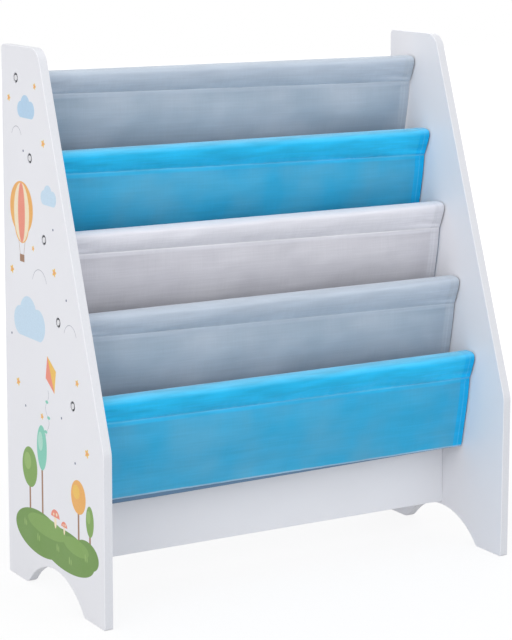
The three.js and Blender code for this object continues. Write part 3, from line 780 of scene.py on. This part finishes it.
def joined(meshes):
    """One mesh of several separate ones."""
    points = []
    faces = []
    for mesh in meshes:
        start = len(points)
        points += [tuple(vertex.co) for vertex in mesh.vertices]
        faces += [[start + i for i in face.vertices] for face in mesh.polygons]
    return mesh_of(points, faces)


def moved(mesh, x=0.0, y=0.0, z=0.0, spin=0.0):
    copy = mesh.copy()
    copy.transform(Matrix.Translation((x, y, z)) @ Matrix.Rotation(spin, 4, "Z"))
    return copy


def mirrored(mesh):
    copy = mesh.copy()
    copy.transform(Matrix.Scale(-1, 4, (1, 0, 0)))
    copy.flip_normals()
    return copy


def skin(rings):
    """Faces between rings of point numbers, closed at both ends. An end may be a single point."""
    sides = max(map(len, rings))
    faces = [ring for ring in (rings[0][::-1], rings[-1]) if len(ring) > 1]
    full = [list(ring) * (sides // len(ring)) for ring in rings]
    for first, second in zip(full, full[1:]):
        corners = zip(first, first[1:] + first[:1], second[1:] + second[:1], second)
        faces += [dict.fromkeys(face) for face in corners]
    return faces


def turned(profile, segments=FINE_SEGMENTS):
    """A turned piece along +X from (distance along X, radius) pairs that start and end on the axis."""
    points = []
    rings = []
    for along, radius in profile:
        count = 1 if radius == 0 else segments
        rings.append(range(len(points), len(points) + count))
        for k in range(count):
            angle = 2 * math.pi * (k + 0.5) / segments
            points.append((along, radius * math.cos(angle), radius * math.sin(angle)))
    return mesh_of(points, skin(rings))


def drill(start, end, radius, segments=BORE_SEGMENTS):
    """A plain round cutter along +X."""
    return turned([(start, 0), (start, radius), (end, radius), (end, 0)], segments)


def block(low, high):
    round_x = [(low[1], low[2]), (high[1], low[2]), (high[1], high[2]), (low[1], high[2])]
    corners = [(x, y, z) for x in (low[0], high[0]) for y, z in round_x]
    return mesh_of(corners, skin([range(4), range(4, 8)]))


def arc(centre, radius, start, end):
    steps = max(LEAST_ARC_STEPS, round(abs(end - start) / ARC_STEP))
    angles = np.linspace(start, end, steps + 1)
    return [(centre[0] + radius * math.cos(a), centre[1] + radius * math.sin(a)) for a in angles]


def rounded(corners, radii):
    """The bends at every corner but the first and the last."""
    points = []
    corners = np.array(corners, dtype=float)
    for a, b, c, radius in zip(corners, corners[1:], corners[2:], radii):
        to_a = (a - b) / np.linalg.norm(a - b)
        to_c = (c - b) / np.linalg.norm(c - b)
        half = math.acos(to_a @ to_c) / 2
        middle = (to_a + to_c) / np.linalg.norm(to_a + to_c)
        centre = b + middle * radius / math.sin(half)
        start = b + to_a * radius / math.tan(half) - centre
        end = b + to_c * radius / math.tan(half) - centre
        first = math.atan2(start[1], start[0])
        last = math.atan2(end[1], end[0])
        points += arc(centre, radius, first, last + 2 * math.pi * (last < first))
    return points


def panel_outline():
    """(depth, height) points, anticlockwise from the foot arch."""
    arch_radius = ((ARCH_WIDTH / 2) ** 2 + ARCH_RISE ** 2) / (2 * ARCH_RISE)
    arch_z = ARCH_RISE - arch_radius
    quarter = math.pi / 2

    def arch_end(side, radius):
        reach = side * math.sqrt((arch_radius + radius) ** 2 - (radius - arch_z) ** 2)
        return (ARCH_SHIFT + reach, radius), math.atan2(radius - arch_z, reach)

    front_centre, front_angle = arch_end(-1, ARCH_FRONT_RADIUS)
    back_centre, back_angle = arch_end(1, ARCH_BACK_RADIUS)
    front_foot = (-HALF_DEPTH, 0)
    back_foot = (HALF_DEPTH, 0)
    top_back = (HALF_DEPTH, HEIGHT)
    top_front = (HALF_DEPTH - TOP_DEPTH, HEIGHT)
    knee = (-HALF_DEPTH, KNEE_HEIGHT)
    return [
        *arc(front_centre, ARCH_FRONT_RADIUS, -quarter, front_angle - math.pi),
        *arc((ARCH_SHIFT, arch_z), arch_radius, front_angle, back_angle)[1:-1],
        *arc(back_centre, ARCH_BACK_RADIUS, back_angle - math.pi, -quarter),
        *rounded(
            [front_foot, back_foot, top_back, top_front, knee, front_foot, back_foot],
            [FOOT_CORNER_RADIUS, TOP_BACK_RADIUS, TOP_FRONT_RADIUS, KNEE_RADIUS, FOOT_CORNER_RADIUS],
        ),
    ]


def inset(outline, distance):
    points = np.array(outline)
    into = points - np.roll(points, 1, axis=0)
    into /= np.linalg.norm(into, axis=1)[:, None]
    out = np.roll(into, -1, axis=0)
    left = np.stack([-into[:, 1] - out[:, 1], into[:, 0] + out[:, 0]], axis=1)
    share = 1 + (into * out).sum(axis=1)
    return points + left * (distance / share)[:, None]


def plate(outline, low, high, easing, place):
    """A board between two distances, with rounded edges. place turns (u, v, distance) into a point."""
    rings = []
    for step in range(EASING_STEPS + 1):
        turn = math.pi / 2 * step / EASING_STEPS
        rings.append((easing * (1 - math.sin(turn)), low + easing * (1 - math.cos(turn))))
    rings += [(depth, low + high - along) for depth, along in reversed(rings)]
    count = len(outline)
    points = [place(u, v, along) for depth, along in rings for u, v in inset(outline, depth)]
    return mesh_of(points, skin([range(k * count, (k + 1) * count) for k in range(len(rings))]))


def make_panels(material):
    body = plate(panel_outline(), INNER_FACE, OUTER_FACE, PANEL_EASING, lambda u, v, w: (w, u, v))
    seat = BOLT_FACE - BOLT_HEAD_THICKNESS - FIT_GAP
    inside = INNER_FACE - CUT_OVERRUN
    outside = OUTER_FACE + CUT_OVERRUN
    wide = BOLT_HEAD_RADIUS + FIT_GAP
    mouth = wide + HOLE_CHAMFER + CHAMFER_OVERRUN
    hole = turned([
        (inside, 0), (inside, BORE_RADIUS), (seat, BORE_RADIUS), (seat, wide),
        (OUTER_FACE - HOLE_CHAMFER, wide), (OUTER_FACE + CHAMFER_OVERRUN, mouth),
        (outside, mouth), (outside, 0),
    ])
    tools = [moved(hole, y=y, z=z) for y, z in ROD_CENTRES]
    joints = [(CAM_BOLT_BITE, CAM_BOLT_RADIUS, CAM_HEIGHT)]
    joints += [(DOWEL_BITE, DOWEL_RADIUS, z) for z in DOWEL_HEIGHTS]
    for bite, radius, z in joints:
        blind = drill(inside, INNER_FACE + bite + FIT_GAP, radius + FIT_GAP)
        tools.append(moved(blind, y=BOARD_MIDDLE, z=z))
    right = cut(body, joined(tools))
    for side, mesh in (("left", mirrored(right)), ("right", right)):
        crisp(piece(f"{side}_panel", mesh, material, "panel_lacquer", f"{side}_side_panel"))


def make_board(material):
    corners = [(BOARD_END, BOARD_BOTTOM), (-BOARD_END, BOARD_BOTTOM), (-BOARD_END, BOARD_TOP)]
    corners += [(BOARD_END, BOARD_TOP), *corners[:2]]
    outline = rounded(corners, [BOARD_CORNER_RADIUS] * 4)
    # The corners run clockwise in (x, height), so each arc goes the long way round its small circle.
    body = plate(outline[::-1], BOARD_FRONT, BOARD_BACK, BOARD_EASING, lambda u, v, w: (u, w, v))
    body.flip_normals()
    recess = drill(0, CAM_DEPTH + CUT_OVERRUN, CAM_RADIUS + FIT_GAP, FINE_SEGMENTS)
    recess.transform(Matrix.Rotation(math.pi / 2, 4, "Z"))
    joints = [(CAM_INSET + CAM_BOLT_HEAD / 2, CAM_BOLT_RADIUS, CAM_HEIGHT)]
    joints += [(DOWEL_REACH, DOWEL_RADIUS, z) for z in DOWEL_HEIGHTS]
    stems = []
    recesses = []
    for side, spin in ((-1, math.pi), (1, 0.0)):
        recesses.append(moved(recess, x=side * CAM_X, y=BOARD_BACK - CAM_DEPTH, z=CAM_HEIGHT))
        for reach, radius, z in joints:
            bore = drill(BOARD_END - reach - FIT_GAP, BOARD_END + CUT_OVERRUN, radius + FIT_GAP)
            stems.append(moved(bore, y=BOARD_MIDDLE, z=z, spin=spin))
    mesh = cut(body, joined(recesses), joined(stems))
    crisp(piece("cross_board", mesh, material, "panel_lacquer", "lower_board"))


def rim(face, radius, steps):
    return [(face - drop, radius - inward) for drop, inward in steps]


def make_bolts(steel, plastic):
    under = BOLT_FACE - BOLT_HEAD_THICKNESS
    head = turned([
        (BOLT_TIP, 0), (BOLT_TIP, BOLT_SHANK_RADIUS - BOLT_TIP_CHAMFER),
        (BOLT_TIP + BOLT_TIP_CHAMFER, BOLT_SHANK_RADIUS), (under, BOLT_SHANK_RADIUS),
        (under, BOLT_HEAD_RADIUS - BOLT_HEAD_CHAMFER), (under + BOLT_HEAD_CHAMFER, BOLT_HEAD_RADIUS),
        *rim(BOLT_FACE, BOLT_HEAD_RADIUS, BOLT_RIM), (BOLT_FACE, 0),
    ])
    bolt = cut(head, drill(BOLT_FACE - SOCKET_DEPTH, BOLT_FACE + SOCKET_DEPTH, SOCKET_CORNER, 6))
    under = OUTER_FACE - CAP_THICKNESS
    cap = turned([
        (CAP_PEG_END, 0), (CAP_PEG_END, CAP_PEG_RADIUS - CAP_PEG_CHAMFER),
        (CAP_PEG_END + CAP_PEG_CHAMFER, CAP_PEG_RADIUS), (under, CAP_PEG_RADIUS), (under, CAP_RADIUS),
        *rim(OUTER_FACE, CAP_RADIUS, CAP_RIM), (OUTER_FACE - CAP_DISH, 0),
    ], CAP_SEGMENTS)
    for rod, (y, z) in zip(ROD_NAMES, ROD_CENTRES):
        for side, spin in (("left", math.pi), ("right", 0.0)):
            mesh = moved(bolt, y=y, z=z, spin=spin)
            crisp(piece(f"{rod}_screw_{side}", mesh, steel, "bolt_steel", f"{rod}_bolt_{side}"))
            mesh = moved(cap, y=y, z=z, spin=spin)
            crisp(piece(f"{rod}_cover_{side}", mesh, plastic, "cap_plastic", f"{rod}_bolt_cap_{side}"))


def make_cams(zinc):
    height = CAM_DEPTH - FIT_GAP
    body = turned([
        (0, 0), (0, CAM_RADIUS - CAM_CHAMFER), (CAM_CHAMFER, CAM_RADIUS),
        (height - CAM_FACE_CHAMFER, CAM_RADIUS), (height, CAM_RADIUS - CAM_FACE_CHAMFER), (height, 0),
    ])
    body.transform(Matrix.Translation((0, -height, 0)) @ Matrix.Rotation(math.pi / 2, 4, "Z"))
    head_room = CAM_BOLT_RADIUS + FIT_GAP
    neck_room = CAM_NECK_RADIUS + FIT_GAP
    head_length = CAM_BOLT_HEAD / 2 + FIT_GAP
    length, width = CAM_CROSS_HALF_LENGTH, CAM_CROSS_HALF_WIDTH
    cam = cut(
        body,
        block((-head_length, -CUT_OVERRUN, -head_room), (head_length, -CAM_CROWN, head_room)),
        block((0, -CUT_OVERRUN, -neck_room), (CUT_OVERRUN, -CAM_CROWN, neck_room)),
        block((-length, -CAM_CROSS_DEPTH, -width), (length, CUT_OVERRUN, width)),
        block((-width, -CAM_CROSS_DEPTH, -length), (width, CUT_OVERRUN, length)),
    )
    for side, mesh, x in (("left", mirrored(cam), -CAM_X), ("right", cam, CAM_X)):
        placed = moved(mesh, x=x, y=BOARD_BACK, z=CAM_HEIGHT)
        crisp(piece(f"board_lock_{side}", placed, zinc, "cam_zinc", f"board_cam_{side}"))


def bezier(a, b, c, d, steps, closer=1.0):
    """Points that lie closer together towards d where closer is over 1."""
    s = np.linspace(1, 0, steps + 1)[:, None] ** closer
    t = 1 - s
    return s ** 3 * a + 3 * s * s * t * b + 3 * s * t * t * c + t ** 3 * d


def spline(points, t):
    """Catmull-Rom through three points, as the CAD draws it."""
    first = t < 0.5
    share = np.where(first, 2 * t, 2 * t - 1)[:, None]

    def pick(a, b):
        return np.where(first[:, None], points[a], points[b])

    p0, p1, p2, p3 = pick(0, 0), pick(0, 1), pick(1, 2), pick(2, 2)
    v0 = (p2 - p0) / 2
    v1 = (p3 - p1) / 2
    cubic = (2 * p1 - 2 * p2 + v0 + v1) * share ** 3
    square = (-3 * p1 + 3 * p2 - 2 * v0 - v1) * share ** 2
    return cubic + square + v0 * share + p1


def straight(a, b, steps):
    return a + (b - a) * np.linspace(0, 1, steps + 1)[:, None]


def thickness_at(x):
    """Cloth thickness, with the folded hem at each side."""
    into_hem = (abs(x) - (CLOTH_EDGE - HEM_WIDTH)) / HEM_STEP
    return CLOTH + HEM_BUILD * min(1.0, max(0.0, into_hem))


def flap_at(span):
    """Length of the sewn-in free edge, which gets shorter towards the right."""
    return float(np.interp(span, FLAP_TAPER_SHARES, (FLAP, LEAST_FLAP)))


def sling_section(index, x):
    """Centre line of a sling at one station, from the tail behind its casing seam up over the rod,
    down the pocket's front and on to its free end, and the run of each point."""
    span = x / INNER_FACE
    crown = 1 - abs(span) ** CROWN_POWER
    fold = FOLD_HEIGHT * math.cos(FOLD_COUNTS[index] * math.pi * span + index)
    lift = float(np.interp(span, (-1, 1), SEAM_LIFTS[index]))
    seam = SEAM + lift * (SEAM - BOTTOM) / np.linalg.norm(SEAM - BOTTOM)
    puff = CASING_PUFF + CASING_PUFF_SWELL * crown + fold / 2 + LIFT_PUFF * lift
    behind = np.array([thickness_at(x) + LAYER_GAP, 0.0])
    tangent = math.atan2(seam[1], seam[0]) + math.acos(HUG / float(np.linalg.norm(seam)))
    leave = HUG * np.array([math.cos(tangent), math.sin(tangent)])
    end_of_tail = seam + behind + TAIL * (BOTTOM - seam) / np.linalg.norm(BOTTOM - seam)

    def share(pair):
        return pair[0] + pair[1] * crown

    top = np.array([0, HUG])
    tip = np.array([-puff, 0.0])
    over_handle = np.array([-puff * share(OVER_REACH_SHARES), HUG * OVER_RISE_SHARE])
    upper_handle = np.array([-puff, HUG * share(TIP_RISE_SHARES)])
    lower_handle = np.array([-puff, HUG * share(TIP_DROP_SHARES)])
    seam_handle = seam + HUG * np.array([share(SEAM_REACH_SHARES), share(SEAM_RISE_SHARES)])
    angles = np.linspace(tangent, math.pi / 2, STEPS["wrap"] + 1)
    runs = {
        "tail": straight(end_of_tail, seam + behind, STEPS["tail"]),
        "back": straight(seam + behind, leave, STEPS["back"]),
        "wrap": HUG * np.stack([np.cos(angles), np.sin(angles)], axis=1),
        "over": bezier(top, over_handle, upper_handle, tip, STEPS["over"]),
        "front": bezier(tip, lower_handle, seam_handle, seam, STEPS["front"], SEAM_CROWDING),
    }
    t = np.linspace(0, 1, STEPS["wall"] + 1)
    t = t - WALL_CROWDING * np.sin(2 * math.pi * t)
    runs["wall"] = spline([seam, SEAM * (0.5, 2), BOTTOM], t)
    runs["wall"][:, 0] -= (BELLY + fold) * crown * np.sin(math.pi * t) ** 2
    if index < len(SLINGS) - 1:
        end = BOTTOM + ROD_CENTRES[index + 1] - ROD_CENTRES[index] + behind
        runs["rear"] = straight(BOTTOM, end, STEPS["rear"])
        runs["rear"][:, 0] += BACK_SAG * np.sin(math.pi * np.linspace(0, 1, STEPS["rear"] + 1))
        runs["flap"] = straight(end, end - np.array([0, flap_at(span)]), STEPS["flap"])
    points = [end_of_tail, *(point for run in runs.values() for point in run[1:])]
    return np.array(points), ["tail", *(name for name, run in runs.items() for _ in run[1:])]


def ripple(xs, ss, pitch, run, seed):
    """Smooth noise over the flat cloth, from -1 to 1."""
    values = [noise.noise((x / pitch, s / run, seed)) for x, s in zip(xs.ravel(), ss.ravel())]
    return np.clip(np.array(values).reshape(xs.shape) * RIPPLE_GAIN, -1, 1)


def ripples(index, xs, ss, pitch, runs, finer, seeds, lean=0.0):
    """The same in a coarse layer and a finer one, of half the pitch, that leans with the run."""
    coarse = ripple(xs, ss, pitch, runs[0], seeds[0] + index)
    return coarse + finer * ripple(xs + lean * ss, ss, pitch / 2, runs[1], seeds[1] + index)


def stations():
    inner = CLOTH_EDGE - EVEN_START
    even = np.linspace(-inner, inner, round(2 * inner / STATION_STEP) + 1)
    return np.concatenate([HEM_STATIONS - CLOTH_EDGE, even, (CLOTH_EDGE - HEM_STATIONS)[::-1]])


def relief(index, flat_x, along, last_rows, names):
    """How far the cloth stands out from its plain surface: puckers, waves, seam and creases."""
    rows = np.arange(len(names))
    into = CLOTH_EDGE - np.abs(flat_x)
    from_seam = along - along[:, [last_rows["front"]]]
    from_bottom = along - along[:, [last_rows["wall"]]]
    near_seam = np.exp(-np.abs(from_seam) / PUCKER_REACH) * (from_seam > PUCKER_START)
    near_bottom = np.exp(-np.abs(from_bottom) / PUCKER_REACH)
    held = np.clip(into / HELD_REACH, 0, 1)
    soft = np.isin(names, ["front", "wall", "rear"])
    loose = np.isin(names, ["over", "front", "wall", "rear"]).astype(float)
    for name in ("wrap", "front", "wall", "rear"):
        if name in last_rows:
            tied = last_rows[name] + (name == "wrap")
            loose *= np.clip(np.abs(rows - tied) / CALM_ROWS, 0, 1)

    lift = PUCKER_HEIGHT * ripples(index, flat_x, along, **PUCKERS)
    lift *= np.maximum(near_seam, near_bottom) * soft * held
    lift += WAVE_HEIGHT * ripples(index, flat_x, along, **WAVES) * loose * held
    lift += SEAM_RISE * np.exp(-(from_seam / SEAM_LINE) ** 2) * np.isin(names, ["front", "wall"])
    pinned = np.clip(into / PINNED_REACH, 0, 1)
    for drop, slope, height, reach in END_CREASES:
        away = from_seam - drop - slope * into
        lift += height * np.exp(-(away / CREASE_WIDTH) ** 2) * np.exp(-into / reach) * pinned
    return lift


def surface_normals(grid):
    """Unit normals that point out of the casing and to the front of a pocket's front."""
    normals = np.cross(np.gradient(grid, axis=0), np.gradient(grid, axis=1))
    return normals / np.linalg.norm(normals, axis=2)[:, :, None]


def sling_surface(index):
    """The cloth's middle surface and what the looks need: flat coordinates, normals and rows."""
    xs = stations()
    sections = [sling_section(index, x) for x in xs]
    names = np.array(sections[0][1])
    y0, z0 = ROD_CENTRES[index]
    grid = np.array([
        [(x, y0 + p[0], z0 + p[1]) for p in points] for x, (points, _) in zip(xs, sections)
    ])
    steps = np.linalg.norm(np.diff(grid, axis=1), axis=2)
    along = np.concatenate([np.zeros((len(xs), 1)), np.cumsum(steps, axis=1)], axis=1)
    flat_x = np.repeat(xs[:, None], grid.shape[1], axis=1)
    last_rows = {name: int(np.flatnonzero(names == name)[-1]) for name in dict.fromkeys(sections[0][1])}
    lift = relief(index, flat_x, along, last_rows, names)
    grid = grid + surface_normals(grid) * lift[:, :, None]
    rows = [last_rows[name] for name in ("over", "front", "wall")]
    return {
        "grid": grid, "normals": surface_normals(grid), "flat_x": flat_x, "along": along, "rows": rows,
    }


def flat_drop(surface):
    """Distance down the flat sheet from the casing seam, the same at each fold for all stations."""
    drop = np.empty_like(surface["along"])
    for along, out in zip(surface["along"], drop):
        tip, seam, bottom = along[surface["rows"]]
        knots = (along[0], tip, seam, bottom, along[-1])
        places = (along[0] - tip - FRONT_FLAT, -FRONT_FLAT, 0, WALL_FLAT, WALL_FLAT + along[-1] - bottom)
        out[:] = np.interp(along, knots, places)
    return drop


def cloth_mesh(surface):
    """The sheet with its thickness and its rims."""
    grid, normals = surface["grid"], surface["normals"]
    thick = np.array([thickness_at(x) for x in surface["flat_x"][:, 0]])[:, None, None]
    points = np.concatenate([grid + normals * thick / 2, grid - normals * thick / 2]).reshape(-1, 3)
    number = np.arange(grid.shape[0] * grid.shape[1]).reshape(grid.shape[:2])
    count = number.size
    a, b, c, d = number[:-1, :-1], number[:-1, 1:], number[1:, 1:], number[1:, :-1]
    outer = np.stack([a, d, c, b], axis=-1).reshape(-1, 4)
    inner = np.stack([a, b, c, d], axis=-1).reshape(-1, 4) + count
    edge = np.concatenate([number[0], number[1:, -1], number[-1, -2::-1], number[-2:0:-1, 0]])
    ahead = np.roll(edge, -1)
    sides = np.stack([edge, ahead, ahead + count, edge + count], axis=-1)
    mesh = mesh_of(points, np.concatenate([outer, inner, sides]).tolist())
    coordinates = np.stack([surface["flat_x"], flat_drop(surface)], axis=2).reshape(-1, 2)
    corner_points = np.empty(len(mesh.loops), dtype=np.int32)
    mesh.loops.foreach_get("vertex_index", corner_points)
    flat = coordinates[corner_points % count].ravel()
    mesh.uv_layers.new(name="cloth").data.foreach_set("uv", flat)
    return mesh


def sampled(surface, i, j):
    """Point and unit normal at fractional grid places."""
    across, down = surface["flat_x"].shape
    i0 = int(min(max(i, 0), across - 2))
    j0 = int(min(max(j, 0), down - 2))
    a, b = i - i0, j - j0

    def blended(g):
        near = (1 - b) * g[i0, j0] + b * g[i0, j0 + 1]
        far = (1 - b) * g[i0 + 1, j0] + b * g[i0 + 1, j0 + 1]
        return (1 - a) * near + a * far

    normal = blended(surface["normals"])
    return blended(surface["grid"]), normal / np.linalg.norm(normal)


def stitch_rows(surface):
    """Lists of (point, normal, cloth thickness) along each sewn line, close together."""
    xs = surface["flat_x"][:, 0]
    along = surface["along"][len(xs) // 2]
    _, seam, bottom = along[surface["rows"]]
    step = STITCH_PITCH / STITCH_POINTS
    end = CLOTH_EDGE - ROW_MARGIN

    def row(x, s):
        x, s = np.broadcast_arrays(x, s)
        i = np.interp(x, xs, np.arange(len(xs)))
        j = np.interp(s, along, np.arange(len(along)))
        return [(*sampled(surface, a, b), thickness_at(place)) for a, b, place in zip(i, j, x)]

    def across(s, first=-end, last=end):
        return row(np.arange(first, last, step), s)

    rows = [across(seam + SEAM_ROW)]
    for offset in TACK_ROWS:
        rows.append(across(seam + offset, -end, TACK_LENGTH - CLOTH_EDGE))
        rows.append(across(seam + offset, CLOTH_EDGE - TACK_LENGTH, end))
    rows.append(across(bottom + BOTTOM_ROW))
    downs = np.arange(along[STEPS["tail"]] + COLUMN_MARGIN, along[-1] - COLUMN_MARGIN, step)
    for side in (-1, 1):
        for inward in (HEM_ROW, HEM_WIDTH - HEM_ROW):
            rows.append(row(side * (CLOTH_EDGE - inward), downs))
    return rows


def stitching_mesh(surface):
    """Short raised threads whose ends go into the cloth."""
    points = []
    faces = []
    turns = [2 * math.pi * k / STITCH_SIDES for k in range(STITCH_SIDES)]
    for row in stitch_rows(surface):
        for start in range(0, len(row) - STITCH_POINTS, STITCH_POINTS):
            (place, normal, thick), last = row[start], row[start + STITCH_POINTS - 1]
            run = last[0] - place
            length = np.linalg.norm(run)
            if length < LEAST_RUN:
                continue
            run /= length
            side = np.cross(normal, run)
            begin = len(points)
            for share, girth, rise in STITCH_RINGS:
                middle = place + run * share * STITCH_LENGTH
                middle = middle + normal * (thick / 2 + rise * STITCH_RADIUS)
                for turn in turns:
                    spoke = side * math.cos(turn) + normal * math.sin(turn)
                    points.append(middle + spoke * STITCH_RADIUS * girth)
            rings = range(begin, len(points), STITCH_SIDES)
            faces += skin([range(first, first + STITCH_SIDES) for first in rings])
    return mesh_of(points, faces)


def make_slings():
    cloths = {name: fabric_material(name) for name in FABRICS}
    threads = {name: thread_material(name) for name in FABRICS}
    for index, (sling, colour) in enumerate(SLINGS.items()):
        surface = sling_surface(index)
        slot = f"{colour}_fabric"
        cloth = piece(f"{sling}_cloth", cloth_mesh(surface), cloths[colour], slot, f"{sling}_sling")
        stitching = piece(f"{sling}_stitching", stitching_mesh(surface), threads[colour], slot)


def finish_cad_nodes(steel, zinc, beech):
    """Materials of the CAD nodes that are shown as they are."""
    looks = {"_insert_": zinc, "_cam_bolt_": zinc, "_dowel_": beech}
    for name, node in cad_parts.items():
        shown = [steel] if name in ROD_NAMES else [looks[part] for part in looks if part in name]
        if shown:
            node.data.materials.clear()
            node.data.materials.append(shown[0])


def make_stage():
    reach = FLOOR_REACH
    corners = [(-reach, -reach, 0), (reach, -reach, 0), (reach, reach, 0), (-reach, reach, 0)]
    floor = linked("floor", mesh_of(corners, [(0, 1, 2, 3)], smooth=False))
    floor.data.materials.append(floor_material())

    world = bpy.data.worlds.new("studio")
    bpy.context.scene.world = world
    net = Net("studio", world)
    facing = net.vector("DOT_PRODUCT", net.add("TexCoord").outputs["Generated"], WORLD_FRONT)
    strength = net.ramp(facing, -WORLD_BLEND, WORLD_BLEND, WORLD_LIGHT_BEHIND, WORLD_LIGHT)
    soft = net.add("Background", {"Color": WORLD_TINT, "Strength": strength})
    white = net.add("Background", {"Color": WHITE_LIGHT, "Strength": 1.0})
    net.glowing(soft, white, kind="OutputWorld")


def make_lamps():
    for name, (place, size, power) in LAMPS.items():
        light = bpy.data.lights.new(name, "AREA")
        light.shape = "DISK"
        light.size = size
        light.energy = power
        obj = linked(name, light)
        obj.location = place
        obj.rotation_euler = (LAMP_AIM - obj.location).to_track_quat("-Z", "Y").to_euler()


def make_camera():
    data = bpy.data.cameras.new("photo_camera")
    data.lens = CAMERA_LENS
    data.sensor_width = CAMERA_SENSOR
    data.shift_y = CAMERA_SHIFT_Y
    camera = linked("photo_camera", data)
    camera.location = CAMERA_PLACE
    turn = Euler((math.pi / 2 + CAMERA_PITCH, 0, CAMERA_YAW), "XYZ").to_matrix()
    camera.rotation_euler = (turn @ Matrix.Rotation(CAMERA_ROLL, 3, "Z")).to_euler()
    bpy.context.scene.camera = camera


make_camera()
make_stage()
make_lamps()
bpy.context.scene.view_settings.view_transform = "Standard"

zinc = metal_material("zinc")
make_panels(panel_material())
make_board(lacquer_material())
make_bolts(metal_material("bolt_steel"), plastic_material())
make_cams(zinc)
make_slings()
finish_cad_nodes(metal_material("rod_steel"), zinc, beech_material())
